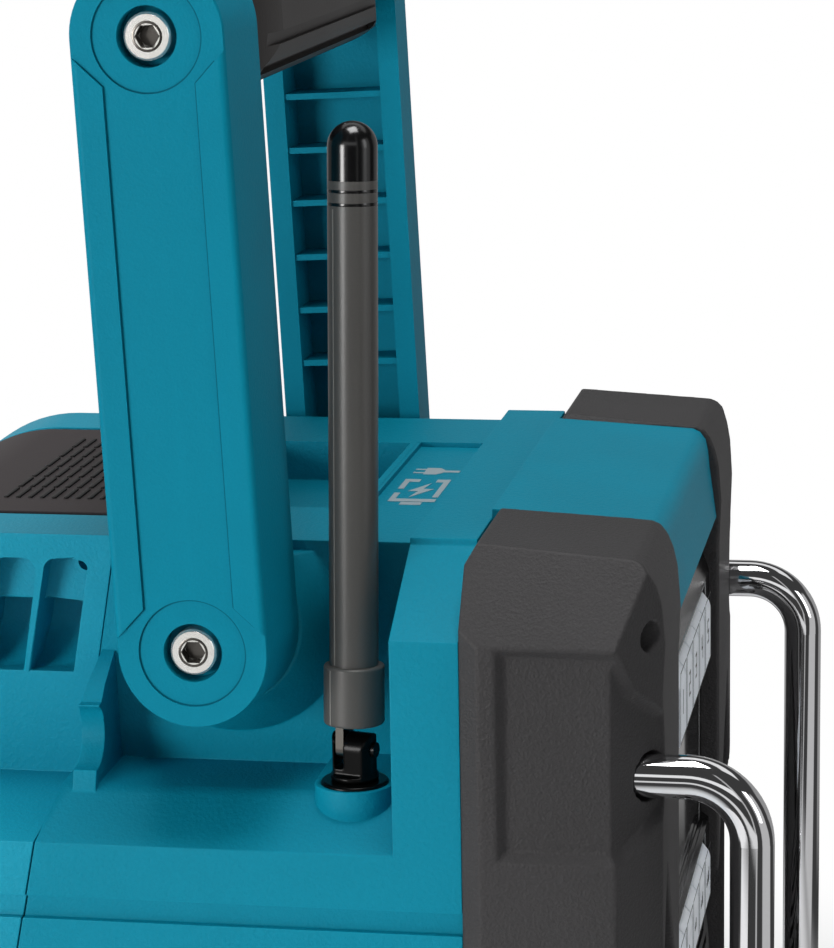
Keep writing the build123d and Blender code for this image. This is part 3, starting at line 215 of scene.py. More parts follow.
def makeStudioGroup(look):
    # how bright the studio is in a direction: dark, with soft boxes
    group, source, sink = newGroup("studioBoxes", [("Direction", "NodeSocketVector", None)],
                                   [("Bright", "NodeSocketFloat")])
    split = group.nodes.new("ShaderNodeSeparateXYZ")
    group.links.new(source.outputs["Direction"], split.inputs[0])
    x, y, z = split.outputs
    flat = mathNode(group, "SQRT", mathNode(group, "ADD", mathNode(group, "MULTIPLY", x, x),
                                            mathNode(group, "MULTIPLY", y, y)))
    around = mathNode(group, "ARCTAN2", y, x)
    rise = mathNode(group, "ARCTAN2", z, flat)
    total = look["dark"]
    for a0, a1, e0, e1, soft, level in look["boxes"]:
        box = mathNode(group, "MULTIPLY", band(group, around, a0, a1, soft), band(group, rise, e0, e1, soft))
        total = mathNode(group, "MAXIMUM", total, mathNode(group, "MULTIPLY", box, level))
    group.links.new(total, sink.inputs["Bright"])
    return group


def makeWorld(studio, ambient):
    # shiny faces mirror the soft boxes, the rest gets an even light, and the camera sees white
    world = bpy.data.worlds.new("studio")
    bpy.context.scene.world = world
    world.use_nodes = True
    tree = world.node_tree
    tree.nodes.clear()
    out = tree.nodes.new("ShaderNodeOutputWorld")
    path = tree.nodes.new("ShaderNodeLightPath")
    coords = tree.nodes.new("ShaderNodeTexCoord")
    boxes = groupNode(tree, studio)
    tree.links.new(coords.outputs["Generated"], boxes.inputs["Direction"])
    soft = tree.nodes.new("ShaderNodeBackground")
    soft.inputs["Strength"].default_value = ambient
    shine = tree.nodes.new("ShaderNodeBackground")
    tree.links.new(boxes.outputs["Bright"], shine.inputs["Color"])
    seen = tree.nodes.new("ShaderNodeBackground")
    for node in (soft, seen):
        node.inputs["Color"].default_value = (1, 1, 1, 1)
    gloss = tree.nodes.new("ShaderNodeMixShader")
    final = tree.nodes.new("ShaderNodeMixShader")
    tree.links.new(path.outputs["Is Glossy Ray"], gloss.inputs["Fac"])
    tree.links.new(soft.outputs[0], gloss.inputs[1])
    tree.links.new(shine.outputs[0], gloss.inputs[2])
    white = mathNode(tree, "MAXIMUM", path.outputs["Is Camera Ray"], path.outputs["Is Transmission Ray"])
    tree.links.new(white, final.inputs["Fac"])
    tree.links.new(gloss.outputs[0], final.inputs[1])
    tree.links.new(seen.outputs[0], final.inputs[2])
    tree.links.new(final.outputs[0], out.inputs["Surface"])


floorLook = {
    "reach": 8.0, "colour": 0.9, "rough": 0.8, "specular": 0.1,
    "nearEdge": 0.22, "farEdge": 0.46, "eyeHeight": 0.2,
}


def makeFloor(studio, look):
    # pale round the object, where its shadow falls, and plain white further out
    mesh = bpy.data.meshes.new("floor")
    reach = look["reach"]
    mesh.from_pydata([(-reach, -reach, 0), (reach, -reach, 0), (reach, reach, 0), (-reach, reach, 0)], [],
                     [(0, 1, 2, 3)])
    floor = bpy.data.objects.new("floor", mesh)
    bpy.context.scene.collection.objects.link(floor)
    material = bpy.data.materials.new("paleFloor")
    material.use_nodes = True
    tree = material.node_tree
    near = tree.nodes["Principled BSDF"]
    near.inputs["Base Color"].default_value = (look["colour"],) * 3 + (1,)
    setInputs(near, {"Roughness": look["rough"], "Specular IOR Level": look["specular"]})
    path = tree.nodes.new("ShaderNodeLightPath")
    coords = tree.nodes.new("ShaderNodeTexCoord").outputs["Object"]
    lower = tree.nodes.new("ShaderNodeVectorMath")
    lower.operation = "SUBTRACT"
    tree.links.new(coords, lower.inputs[0])
    lower.inputs[1].default_value = (0, 0, look["eyeHeight"])
    boxes = groupNode(tree, studio)
    tree.links.new(lower.outputs[0], boxes.inputs["Direction"])
    length = tree.nodes.new("ShaderNodeVectorMath")
    length.operation = "LENGTH"
    tree.links.new(coords, length.inputs[0])
    far = stepUp(tree, length.outputs["Value"], look["nearEdge"], look["farEdge"])
    white = mathNode(tree, "MAXIMUM", path.outputs["Is Camera Ray"], path.outputs["Is Transmission Ray"])
    shine = tree.nodes.new("ShaderNodeEmission")
    tree.links.new(boxes.outputs["Bright"], shine.inputs["Color"])
    plain = tree.nodes.new("ShaderNodeEmission")
    gloss = tree.nodes.new("ShaderNodeMixShader")
    final = tree.nodes.new("ShaderNodeMixShader")
    tree.links.new(mathNode(tree, "MULTIPLY", far, path.outputs["Is Glossy Ray"]), gloss.inputs["Fac"])
    tree.links.new(near.outputs[0], gloss.inputs[1])
    tree.links.new(shine.outputs[0], gloss.inputs[2])
    tree.links.new(mathNode(tree, "MULTIPLY", far, white), final.inputs["Fac"])
    tree.links.new(gloss.outputs[0], final.inputs[1])
    tree.links.new(plain.outputs[0], final.inputs[2])
    tree.links.new(final.outputs[0], tree.nodes["Material Output"].inputs["Surface"])
    mesh.materials.append(material)


makeCamera(cameraLook)
for lampName, lampData in lampLook.items():
    makeLamp(lampName, lampData)
studioGroup = makeStudioGroup(studioLook)
makeWorld(studioGroup, studioLook["ambient"])
makeFloor(studioGroup, floorLook)
bpy.context.scene.view_settings.view_transform = "Standard"
print("stage: camera, lamps and floor")


# materials

grainLook = {
    # noise detail and roughness of the grain and of the drift; size and height of the cells in the grain
    "fine": (3.0, 0.6), "drift": (3.0, 0.5), "cellSize": 0.55, "cellHeight": 0.5,
}
toneLook = {
    # how much speckle and drift change the tone, what it starts from, and where the painted edge highlight sets in
    "speckle": 0.6, "drift": 0.5, "start": -0.05, "edge": (0.52, 0.62), "patch": (0.35, 0.65),
}


def makeGrainGroup(look):
    # fine moulded grain, and a slow drift over the surface
    group, source, sink = newGroup(
        "mouldedGrain",
        [("Grain Scale", "NodeSocketFloat", 1800.0), ("Drift Scale", "NodeSocketFloat", 14.0)],
        [("Height", "NodeSocketFloat"), ("Speckle", "NodeSocketFloat"), ("Drift", "NodeSocketFloat")],
    )
    coords = group.nodes.new("ShaderNodeTexCoord").outputs["Object"]
    fine = noiseNode(group, coords, source.outputs["Grain Scale"], *look["fine"])
    cells = group.nodes.new("ShaderNodeTexVoronoi")
    group.links.new(coords, cells.inputs["Vector"])
    cellScale = mathNode(group, "MULTIPLY", source.outputs["Grain Scale"], look["cellSize"])
    group.links.new(cellScale, cells.inputs["Scale"])
    height = mathNode(group, "MULTIPLY_ADD", cells.outputs["Distance"], look["cellHeight"], fine)
    drift = noiseNode(group, coords, source.outputs["Drift Scale"], *look["drift"])
    group.links.new(height, sink.inputs["Height"])
    group.links.new(fine, sink.inputs["Speckle"])
    group.links.new(drift, sink.inputs["Drift"])
    return group


def makeToneGroup(look):
    # a base colour that speckles and drifts a little, with a painted highlight along sharp edges in patches, and
    # its roughness
    group, source, sink = newGroup(
        "toneAndRough",
        [("Dark", "NodeSocketColor", (0, 0, 0, 1)), ("Light", "NodeSocketColor", (1, 1, 1, 1)),
         ("Highlight Colour", "NodeSocketColor", (1, 1, 1, 1)), ("Edge Highlight", "NodeSocketFloat", 0.3),
         ("Speckle", "NodeSocketFloat", 0.5), ("Drift", "NodeSocketFloat", 0.5),
         ("Rough Low", "NodeSocketFloat", 0.4), ("Rough High", "NodeSocketFloat", 0.5)],
        [("Color", "NodeSocketColor"), ("Roughness", "NodeSocketFloat")],
    )
    blend = mathNode(group, "MULTIPLY_ADD", source.outputs["Speckle"], look["speckle"], look["start"])
    blend = mathNode(group, "MULTIPLY_ADD", source.outputs["Drift"], look["drift"], blend)
    tone = mixColour(group, blend, source.outputs["Dark"], source.outputs["Light"])
    edge = group.nodes.new("ShaderNodeNewGeometry").outputs["Pointiness"]
    # painted highlight: sharp edges are made paler in patches, standing in for the light they catch
    highlight = mathNode(group, "MULTIPLY", stepUp(group, edge, *look["edge"]), source.outputs["Edge Highlight"])
    highlight = mathNode(group, "MULTIPLY", highlight, stepUp(group, source.outputs["Drift"], *look["patch"]))
    tone = mixColour(group, highlight, tone, source.outputs["Highlight Colour"])
    span = mathNode(group, "SUBTRACT", source.outputs["Rough High"], source.outputs["Rough Low"])
    rough = mathNode(group, "MULTIPLY_ADD", source.outputs["Drift"], span, source.outputs["Rough Low"])
    group.links.new(tone, sink.inputs["Color"])
    group.links.new(rough, sink.inputs["Roughness"])
    return group


grainGroup = makeGrainGroup(grainLook)
toneGroup = makeToneGroup(toneLook)


def linear(colour):
    # from display values out of 255 to the linear values of a shader
    parts = [c / 255 for c in colour]
    return tuple(c / 12.92 if c <= 0.04045 else ((c + 0.055) / 1.055) ** 2.4 for c in parts) + (1.0,)


usualLook = {
    # what a finish has where it doesn't say otherwise
    # the paler edge tone set here is a painted highlight along sharp edges
    "drift": 14.0, "spread": 0.06, "edgeHighlight": 0.25, "highlightGain": 1.18, "highlightLift": 8, "metal": 0.0, "specular": 0.4,
    "coat": 0.0, "coatRough": 0.05, "bumpDepth": 0.0001,
}


def grainedMaterial(name, finish):
    look = {**usualLook, **finish}
    material = bpy.data.materials.new(name)
    material.use_nodes = True
    tree = material.node_tree
    shader = tree.nodes["Principled BSDF"]
    grain = groupNode(tree, grainGroup)
    setInputs(grain, {"Grain Scale": look["grain"], "Drift Scale": look["drift"]})
    tone = groupNode(tree, toneGroup)
    base, spread = look["colour"], look["spread"]
    setInputs(tone, {
        "Dark": linear([c * (1 - spread) for c in base]),
        "Light": linear([min(255, c * (1 + spread)) for c in base]),
        # the paler edge colour is a painted highlight
        "Highlight Colour": linear([min(255, c * look["highlightGain"] + look["highlightLift"]) for c in base]),
        "Edge Highlight": look["edgeHighlight"], "Rough Low": look["rough"][0], "Rough High": look["rough"][1],
    })
    tree.links.new(grain.outputs["Speckle"], tone.inputs["Speckle"])
    tree.links.new(grain.outputs["Drift"], tone.inputs["Drift"])
    tree.links.new(tone.outputs["Color"], shader.inputs["Base Color"])
    tree.links.new(tone.outputs["Roughness"], shader.inputs["Roughness"])
    setInputs(shader, {"Metallic": look["metal"], "Specular IOR Level": look["specular"],
                       "Coat Weight": look["coat"], "Coat Roughness": look["coatRough"]})
    bump = tree.nodes.new("ShaderNodeBump")
    setInputs(bump, {"Strength": look["bump"], "Distance": look["bumpDepth"]})
    tree.links.new(grain.outputs["Height"], bump.inputs["Height"])
    tree.links.new(bump.outputs["Normal"], shader.inputs["Normal"])
    return material


finishes = {
    # colours are display values out of 255
    "tealShell": {"colour": (4, 127, 152), "rough": (0.46, 0.56), "grain": 1250.0, "bump": 0.7, "spread": 0.08,
                  "bumpDepth": 0.0002, "specular": 0.1},
    "tealHandle": {"colour": (3, 122, 147), "rough": (0.48, 0.58), "grain": 1500.0, "bump": 0.45,
                   "bumpDepth": 0.00015, "spread": 0.06, "specular": 0.06},
    # painted light: a paler copy of the shell's teal for the door and the lever, standing in for the light their
    # faces catch
    "tealDoorPaintedLight": {"colour": (12, 138, 164), "rough": (0.46, 0.56), "grain": 1250.0, "bump": 0.7, "spread": 0.08,
                 "bumpDepth": 0.0002, "specular": 0.14},
    # painted shade: a darker copy of the teal for the shadow at the foot of the arms' steps
    "tealPaintedShade": {"colour": (0, 92, 113), "rough": (0.5, 0.6), "grain": 1500.0, "bump": 0.1, "spread": 0.04,
                  "specular": 0.05, "edgeHighlight": 0.0},
    # the bumper has the strongest painted edge highlight
    "bumperRubber": {"colour": (50, 49, 50), "rough": (0.45, 0.62), "grain": 1600.0, "bump": 0.7,
                     "bumpDepth": 0.0003, "spread": 0.3, "specular": 0.3, "edgeHighlight": 0.6},
    "padRubber": {"colour": (56, 51, 52), "rough": (0.6, 0.7), "grain": 1500.0, "bump": 0.3, "spread": 0.08,
                  "specular": 0.15},
    "ribRubber": {"colour": (7, 6, 6), "rough": (0.45, 0.55), "grain": 1500.0, "bump": 0.15, "spread": 0.08,
                  "specular": 0.2},
    "gripRubber": {"colour": (38, 34, 33), "rough": (0.42, 0.55), "grain": 1600.0, "bump": 0.3, "spread": 0.08},
    "blackPlastic": {"colour": (20, 20, 21), "rough": (0.4, 0.55), "grain": 1800.0, "bump": 0.25},
    "glossBlack": {"colour": (7, 7, 8), "rough": (0.12, 0.2), "grain": 300.0, "bump": 0.01, "specular": 0.3},
    "chrome": {"colour": (228, 228, 230), "rough": (0.03, 0.06), "grain": 500.0, "bump": 0.01, "metal": 1.0,
               "spread": 0.02, "edgeHighlight": 0.0},
    "steel": {"colour": (158, 156, 154), "rough": (0.22, 0.36), "grain": 900.0, "bump": 0.05, "metal": 1.0},
    "darkGlass": {"colour": (10, 12, 14), "rough": (0.03, 0.06), "grain": 200.0, "bump": 0.0, "coat": 1.0,
                  "edgeHighlight": 0.0},
    "keyGrey": {"colour": (236, 243, 255), "rough": (0.32, 0.42), "grain": 1500.0, "bump": 0.1, "spread": 0.03},
    "keyInk": {"colour": (24, 25, 28), "rough": (0.45, 0.55), "grain": 1500.0, "bump": 0.05, "edgeHighlight": 0.0},
    "paleInk": {"colour": (150, 166, 172), "rough": (0.4, 0.5), "grain": 1500.0, "bump": 0.1, "edgeHighlight": 0.0,
                "spread": 0.04},
    "antennaRubber": {"colour": (74, 73, 71), "rough": (0.3, 0.38), "grain": 1700.0, "bump": 0.18, "spread": 0.08,
                      "specular": 0.45},
    "capGloss": {"colour": (7, 7, 8), "rough": (0.17, 0.22), "grain": 200.0, "bump": 0.01, "specular": 0.6},
    "swivelBlack": {"colour": (5, 5, 5), "rough": (0.22, 0.3), "grain": 300.0, "bump": 0.02, "specular": 0.14},
    # painted highlight: the seams are the antenna's own rubber, made paler for the light line along them
    "seamRubberPaintedHighlight": {"colour": (128, 126, 122), "rough": (0.4, 0.5), "grain": 1700.0, "bump": 0.1, "edgeHighlight": 0.0},
    "boltSteel": {"colour": (242, 240, 235), "rough": (0.2, 0.3), "grain": 900.0, "bump": 0.04, "metal": 0.82},
    # dark steel of the antenna rod, and the painted shade in and round the bolt sockets
    "darkSteelAndSocketShade": {"colour": (92, 89, 85), "rough": (0.2, 0.32), "grain": 900.0, "bump": 0.04, "metal": 1.0},
    "brightTrim": {"colour": (190, 192, 194), "rough": (0.18, 0.26), "grain": 500.0, "bump": 0.01, "metal": 1.0,
                   "edgeHighlight": 0.0},
    "boardGreen": {"colour": (18, 78, 44), "rough": (0.35, 0.5), "grain": 900.0, "bump": 0.1},
    "coneBlack": {"colour": (26, 26, 27), "rough": (0.7, 0.85), "grain": 1200.0, "bump": 0.5},
    "brass": {"colour": (196, 160, 92), "rough": (0.25, 0.38), "grain": 900.0, "bump": 0.05, "metal": 1.0},
    "nylon": {"colour": (205, 200, 188), "rough": (0.4, 0.5), "grain": 1000.0, "bump": 0.1},
}
materials = {name: grainedMaterial(name, look) for name, look in finishes.items()}

slotFinish = {
    "teal_shell": "tealShell", "charcoal_rubber": "bumperRubber", "grip_rubber": "gripRubber",
    "black_plastic": "blackPlastic", "gloss_black": "glossBlack", "chrome": "chrome", "steel": "steel",
    "display": "darkGlass", "key_grey": "keyGrey", "antenna_rubber": "antennaRubber", "board": "boardGreen",
    "cone": "coneBlack", "brass": "brass", "nylon": "nylon",
}
nodeFinish = {
    "handle_arm_left": "tealHandle", "handle_arm_right": "tealHandle", "antenna_cap": "capGloss",
    "latch_pad": "padRubber", "antenna_swivel": "swivelBlack", "antenna_flange": "swivelBlack",
    "antenna_pin": "swivelBlack", "antenna_rod": "darkSteelAndSocketShade", "bumper_screws": "brightTrim",
    "grip_bolts": "boltSteel", "pivot_bolts": "boltSteel",
    # the door and the lever take the paler teal, a painted light
    "rear_door": "tealDoorPaintedLight", "latch_lever": "tealDoorPaintedLight",
}
slotOf = {part["node"]: part["material_slot"] for part in frame["record"]["subparts"]}
for nodeName, slotName in slotOf.items():
    node = nodes[nodeName]
    node.data.materials.clear()
    node.data.materials.append(materials[nodeFinish.get(nodeName, slotFinish[slotName])])
print("stage: CAD nodes dressed")


# pieces

def addPiece(name, mesh, body, finish=None):
    piece = bpy.data.objects.new(name, mesh)
    bpy.context.scene.collection.objects.link(piece)
    if finish:
        mesh.materials.clear()
        mesh.materials.append(materials[finish])
    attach(piece, body)
    return piece


def settleShading(piece, angle):
    piece.data.shade_smooth()
    piece.data.set_sharp_from_angle(angle=math.radians(angle))
    weighted = piece.modifiers.new("evenShading", "WEIGHTED_NORMAL")
    weighted.keep_sharp = True


softLook = {
    # node: width of its bevelled edges in mm
    "front_housing": 0.55, "rear_door": 0.6, "latch_lever": 0.5, "latch_pad": 0.5, "console_frame": 0.35,
    "rear_chassis": 0.4,
}
bevelRules = {
    # angles in degrees: edges sharper than the least are bevelled, nearly flat faces are joined first, and
    # faces that lie back to back past the fold angle are a fault
    "leastAngle": 30, "joinAngle": 0.4, "foldAngle": 150, "segments": 2, "profile": 0.6, "attempts": 8,
    # in widths: the shortest edge, the distance kept from a fold, and how much it grows with each attempt
    "shortest": 1.6, "keepOff": 2.5, "keepOffMore": 0.8,
    # in mm: a fold this near to one that the node has itself doesn't count
    "knownReach": 6.0,
}
weldGap = 0.01             # mm, between corners that are one
bevelGap = 0.02            # mm, the same after a bevel


def weldedForm(nodeName):
    form = bmesh.new()
    form.from_mesh(nodes[nodeName].data)
    bmesh.ops.remove_doubles(form, verts=form.verts, dist=weldGap * mm)
    return form


def replaceNode(nodeName, mesh, angle):
    # a softened copy stands in for its node and stays inside the node's box
    for label in ("custom_normal", "sharp_edge", "sharp_face"):
        layer = mesh.attributes.get(label)
        if layer:
            mesh.attributes.remove(layer)
    low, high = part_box(nodeName)
    for vert in mesh.vertices:
        vert.co = Vector([min(max(c, a), b) for c, a, b in zip(vert.co, low, high)])
    mesh.name = nodeName + "Soft"
    mesh.materials.clear()
    mesh.materials.append(nodes[nodeName].data.materials[0])
    piece = addPiece(nodeName + "Soft", mesh, nodes[nodeName]["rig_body"])
    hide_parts(nodeName)
    settleShading(piece, angle)


def foldPlaces(form, rules):
    # where two faces lie back to back, which a bevel leaves when it runs past its neighbour
    form.normal_update()
    return [(edge.verts[0].co + edge.verts[1].co) / 2 for edge in form.edges
            if len(edge.link_faces) == 2 and edge.calc_face_angle(0) > math.radians(rules["foldAngle"])]


def nearest(place, start, end):
    # how far a place is from an edge
    point, along = intersect_point_line(place, start, end)
    point = start if along < 0 else end if along > 1 else point
    return (point - place).length


def bevelledForm(nodeName, width, rules, avoid, reach):
    form = weldedForm(nodeName)
    bmesh.ops.dissolve_limit(form, angle_limit=math.radians(rules["joinAngle"]), verts=form.verts, edges=form.edges,
                             use_dissolve_boundaries=False)
    sharp = []
    for edge in form.edges:
        if len(edge.link_faces) != 2 or edge.calc_face_angle(0) < math.radians(rules["leastAngle"]):
            continue
        if edge.calc_length() < rules["shortest"] * width * mm:
            continue
        start, end = (vert.co for vert in edge.verts)
        if all(nearest(place, start, end) >= reach * width * mm for place in avoid):
            sharp.append(edge)
    bmesh.ops.bevel(form, geom=sharp, offset=width * mm, offset_type="OFFSET", segments=rules["segments"],
                    profile=rules["profile"], affect="EDGES", clamp_overlap=False)
    bmesh.ops.remove_doubles(form, verts=form.verts, dist=bevelGap * mm)
    bmesh.ops.dissolve_degenerate(form, dist=weldGap * mm, edges=form.edges)
    bmesh.ops.triangulate(form, faces=[face for face in form.faces if len(face.verts) > 4])
    return form


def soften(nodeName, width, rules):
    # edges that would fold over are left sharp; the knife edges that the node has itself don't count
    form = weldedForm(nodeName)
    known = foldPlaces(form, rules)
    form.free()
    avoid = []
    for attempt in range(rules["attempts"]):
        form = bevelledForm(nodeName, width, rules, avoid, rules["keepOff"] + rules["keepOffMore"] * attempt)
        folds = [place for place in foldPlaces(form, rules)
                 if all((place - old).length > rules["knownReach"] * mm for old in known)]
        if not folds or attempt + 1 == rules["attempts"]:
            break
        avoid += folds
        form.free()
    print("softened", nodeName, "attempts", attempt + 1, "folds left", len(folds))
    mesh = bpy.data.meshes.new(nodeName)
    form.to_mesh(mesh)
    form.free()
    replaceNode(nodeName, mesh, flatAngle)


mouldLook = {
    # node: voxel in mm, smoothing passes, share of the faces kept
    "bumper_left": (0.6, 2, 0.08),
    "bumper_right": (0.6, 2, 0.08),
    "antenna_swivel": (0.35, 4, 0.3),
}
smoothShare = 0.5          # how far each smoothing pass moves a corner towards its neighbours


def mould(nodeName, look):
    # edges rounded all over by a fine remesh
    voxel, passes, keep = look
    form = weldedForm(nodeName)
    mesh = bpy.data.meshes.new(nodeName + "Rough")
    form.to_mesh(mesh)
    form.free()
    rough = bpy.data.objects.new(nodeName + "Rough", mesh)
    bpy.context.scene.collection.objects.link(rough)
    remesh = rough.modifiers.new("remesh", "REMESH")
    remesh.mode = "VOXEL"
    remesh.voxel_size = voxel * mm
    smooth = rough.modifiers.new("smooth", "SMOOTH")
    smooth.factor = smoothShare
    smooth.iterations = passes
    rough.modifiers.new("thin", "DECIMATE").ratio = keep
    done = bpy.data.meshes.new_from_object(rough.evaluated_get(bpy.context.evaluated_depsgraph_get()))
    bpy.data.objects.remove(rough)
    bpy.data.meshes.remove(mesh)
    replaceNode(nodeName, done, roundAngle)


for nodeName, width in softLook.items():
    soften(nodeName, width, bevelRules)
for nodeName, look in mouldLook.items():
    mould(nodeName, look)
print("stage: shells and rubber softened")


def surfaceOf(nodeName):
    mesh = nodes[nodeName].data
    return BVHTree.FromPolygons([v.co for v in mesh.vertices], [tuple(p.vertices) for p in mesh.polygons])


def barInto(form, centre, along, up, size, rounding=0.3):
    # a bar of a length, width and height in metres, its edges rounded by a share of the least of them
    across = up.cross(along).normalized()
    turn = Matrix((along, across, up)).transposed().to_4x4()
    shape = Matrix.Translation(centre) @ turn @ Matrix.Diagonal((*size, 1))
    made = bmesh.ops.create_cube(form, size=1.0, matrix=shape)
    edges = {edge for vert in made["verts"] for edge in vert.link_edges}
    bmesh.ops.bevel(form, geom=list(edges), offset=min(size) * rounding, segments=bevelRules["segments"],
                    profile=bevelRules["profile"], affect="EDGES", clamp_overlap=True)


def flatInto(form, outline, place, right, up, proud):
    # a flat mark in mm, a little proud of the face it lies on
    out = right.cross(up)
    low = [form.verts.new(place + (right * u + up * v) * mm) for u, v in outline]
    high = [form.verts.new(vert.co + out * proud * mm) for vert in low]
    count = len(low)
    form.faces.new(high)
    form.faces.new(list(reversed(low)))
    for n in range(count):
        form.faces.new((low[n], low[(n + 1) % count], high[(n + 1) % count], high[n]))


def box2d(u0, v0, u1, v1):
    return [(u0, v0), (u1, v0), (u1, v1), (u0, v1)]


def lathe(form, profile, centre, axis, segments=48):
    # profile in mm: places along the axis and radii, as a closed loop
    axis = axis.normalized()
    side = axis.orthogonal().normalized()
    other = axis.cross(side)
    rings = []
    for n in range(segments):
        turn = 2 * math.pi * n / segments
        ray = side * math.cos(turn) + other * math.sin(turn)
        rings.append([form.verts.new(centre + (axis * along + ray * radius) * mm) for along, radius in profile])
    for n, ring in enumerate(rings):
        after = rings[(n + 1) % segments]
        for k in range(len(profile)):
            m = (k + 1) % len(profile)
            form.faces.new((ring[k], after[k], after[m], ring[m]))


def finishForm(form, name, body, finish, angle=flatAngle):
    bmesh.ops.recalc_face_normals(form, faces=form.faces)
    mesh = bpy.data.meshes.new(name)
    form.to_mesh(mesh)
    form.free()
    settleShading(addPiece(name, mesh, body, finish), angle)


padLook = {
    "firstX": -43.8, "dash": 12.6, "pitchX": 15.0, "countX": 6, "firstY": 42.0, "pitchY": 3.75, "countY": 11,
    "width": 1.45, "proud": 0.55,
}


def makePadRibs(look):
    # rows of short ribs over the pad's curve
    surface = surfaceOf("latch_pad")
    form = bmesh.new()
    for row in range(look["countY"]):
        y = pivotY + (look["firstY"] + row * look["pitchY"]) * mm
        for n in range(look["countX"]):
            x = (look["firstX"] + n * look["pitchX"] + look["dash"] / 2) * mm
            hit, normal, _, _ = surface.ray_cast(Vector((x, y, skyZ)), Vector((0, 0, -1)))
            if hit is None:
                continue
            size = (look["dash"] * mm, look["width"] * mm, 2 * look["proud"] * mm)
            barInto(form, hit, Vector((1, 0, 0)), normal.normalized(), size)
    finishForm(form, "padRibs", "latch", "ribRubber")


makePadRibs(padLook)
print("stage: pad ribs")

chargeMark = {
    # the mark's near left corner, a place inside it where its height is taken, and its outlines
    "nearX": -31.0, "leftY": -35.4, "inside": (18.0, -7.0), "scale": (1.12, 1.26), "proud": 0.12,
    "outlines": (
        box2d(0.6, 0.0, 2.2, 9.5), box2d(0.6, 14.0, 2.2, 25.0), box2d(2.2, 0.0, 13.4, 3.0),
        box2d(4.4, -3.4, 10.2, -0.6), box2d(11.8, 5.0, 13.4, 25.0), box2d(2.2, 22.0, 5.0, 25.0),
        box2d(9.6, 22.0, 11.8, 25.0),
        [(8.8, 21.0), (3.9, 11.6), (6.7, 11.6), (5.4, 4.6), (10.6, 14.2), (7.6, 14.2)],
        [(4.2, 31.0), (8.0, 31.0), (9.6, 33.2), (9.6, 36.2), (8.0, 38.4), (4.2, 38.4)],
        box2d(9.6, 33.7, 14.0, 35.7), box2d(1.2, 32.2, 4.2, 33.4), box2d(1.2, 36.0, 4.2, 37.2),
    ),
}


def makeChargeMark(look):
    # a cell with a bolt in it, and a plug beside it
    surface = surfaceOf("front_housing")
    form = bmesh.new()
    start = Vector((look["nearX"] * mm, pivotY + look["leftY"] * mm, skyZ))
    inside = start + Vector((*look["inside"], 0)) * mm
    hit = surface.ray_cast(inside, Vector((0, 0, -1)))[0]
    place = Vector((start.x, start.y, hit.z))
    across, along = look["scale"]
    for outline in look["outlines"]:
        scaled = [(u * across, v * along) for u, v in outline]
        flatInto(form, scaled, place, Vector((0, -1, 0)), Vector((1, 0, 0)), look["proud"])
    finishForm(form, "chargeMark", "housing", "paleInk")


makeChargeMark(chargeMark)

keyLook = {
    # how the names of the keys and of their bodies begin; the upper row has figures, the lower rising bars
    "rows": (("key_", "preset_"), ("function_key_", "function_")), "count": 5, "pitch": 20.6,
    "inset": 0.9, "line": 0.4, "proud": 0.06, "figureScale": 1.7, "strokeHalf": 0.35,
    "bars": {"left": -4.6, "pitch": 1.9, "width": 1.0, "foot": -2.4, "top": -1.0, "rise": 0.8},
}
digitStrokes = {
    # strokes of a plain counting figure, two units wide and four high
    1: ((1.0, 0, 1.0, 4),),
    2: ((0, 4, 2, 4), (2, 4, 2, 2), (0, 2, 2, 2), (0, 2, 0, 0), (0, 0, 2, 0)),
    3: ((0, 4, 2, 4), (2, 4, 2, 0), (0, 2, 2, 2), (0, 0, 2, 0)),
    4: ((0, 4, 0, 2), (0, 2, 2, 2), (2, 4, 2, 0)),
    5: ((0, 4, 2, 4), (0, 4, 0, 2), (0, 2, 2, 2), (2, 2, 2, 0), (0, 0, 2, 0)),
}


def makeKeyMarks(look):
    # a thin frame on every key, with a figure or bars in it
    right, up = Vector((1, 0, 0)), Vector((0, 0, 1))
    line, scale, half, bars = look["line"], look["figureScale"], look["strokeHalf"], look["bars"]
    for row, (prefix, bodyPrefix) in enumerate(look["rows"]):
        for n in range(1, look["count"] + 1):
            low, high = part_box(prefix + str(n))
            place = Vector(((low[0] + high[0]) / 2, low[1], (low[2] + high[2]) / 2))
            wide = (high[0] - low[0]) / 2 / mm - look["inset"]
            tall = (high[2] - low[2]) / 2 / mm - look["inset"]
            form = bmesh.new()
            flats = [box2d(-wide, tall - line, wide, tall), box2d(-wide, -tall, wide, line - tall),
                     box2d(-wide, -tall, line - wide, tall), box2d(wide - line, -tall, wide, tall)]
            if row == 0:
                for u0, v0, u1, v1 in digitStrokes[n]:
                    flats.append(box2d((min(u0, u1) - 1) * scale - half, (min(v0, v1) - 2) * scale - half,
                                       (max(u0, u1) - 1) * scale + half, (max(v0, v1) - 2) * scale + half))
            else:
                for bar in range(n):
                    left = bars["left"] + bars["pitch"] * bar
                    top = bars["top"] + bars["rise"] * bar
                    flats.append(box2d(left, bars["foot"], left + bars["width"], top))
            for outline in flats:
                flatInto(form, outline, place, right, up, look["proud"])
            finishForm(form, prefix + str(n) + "Marks", bodyPrefix + str(n), "keyInk")


makeKeyMarks(keyLook)

bezelLook = {
    # heights above the pivot line, top and bottom; the window's half width stands beside its heights
    "keyRows": ((-22.4, -49.6), (-107.6, -130.4)), "window": (-50.9, -106.1, 58.4),
    "margin": 1.3, "width": 0.5, "height": 0.3, "endsPast": 0.5,
    # in metres: rays start here, and a hit deeper than the frame's face gets no line
    "startY": -0.2, "deepestY": -0.1115,
}


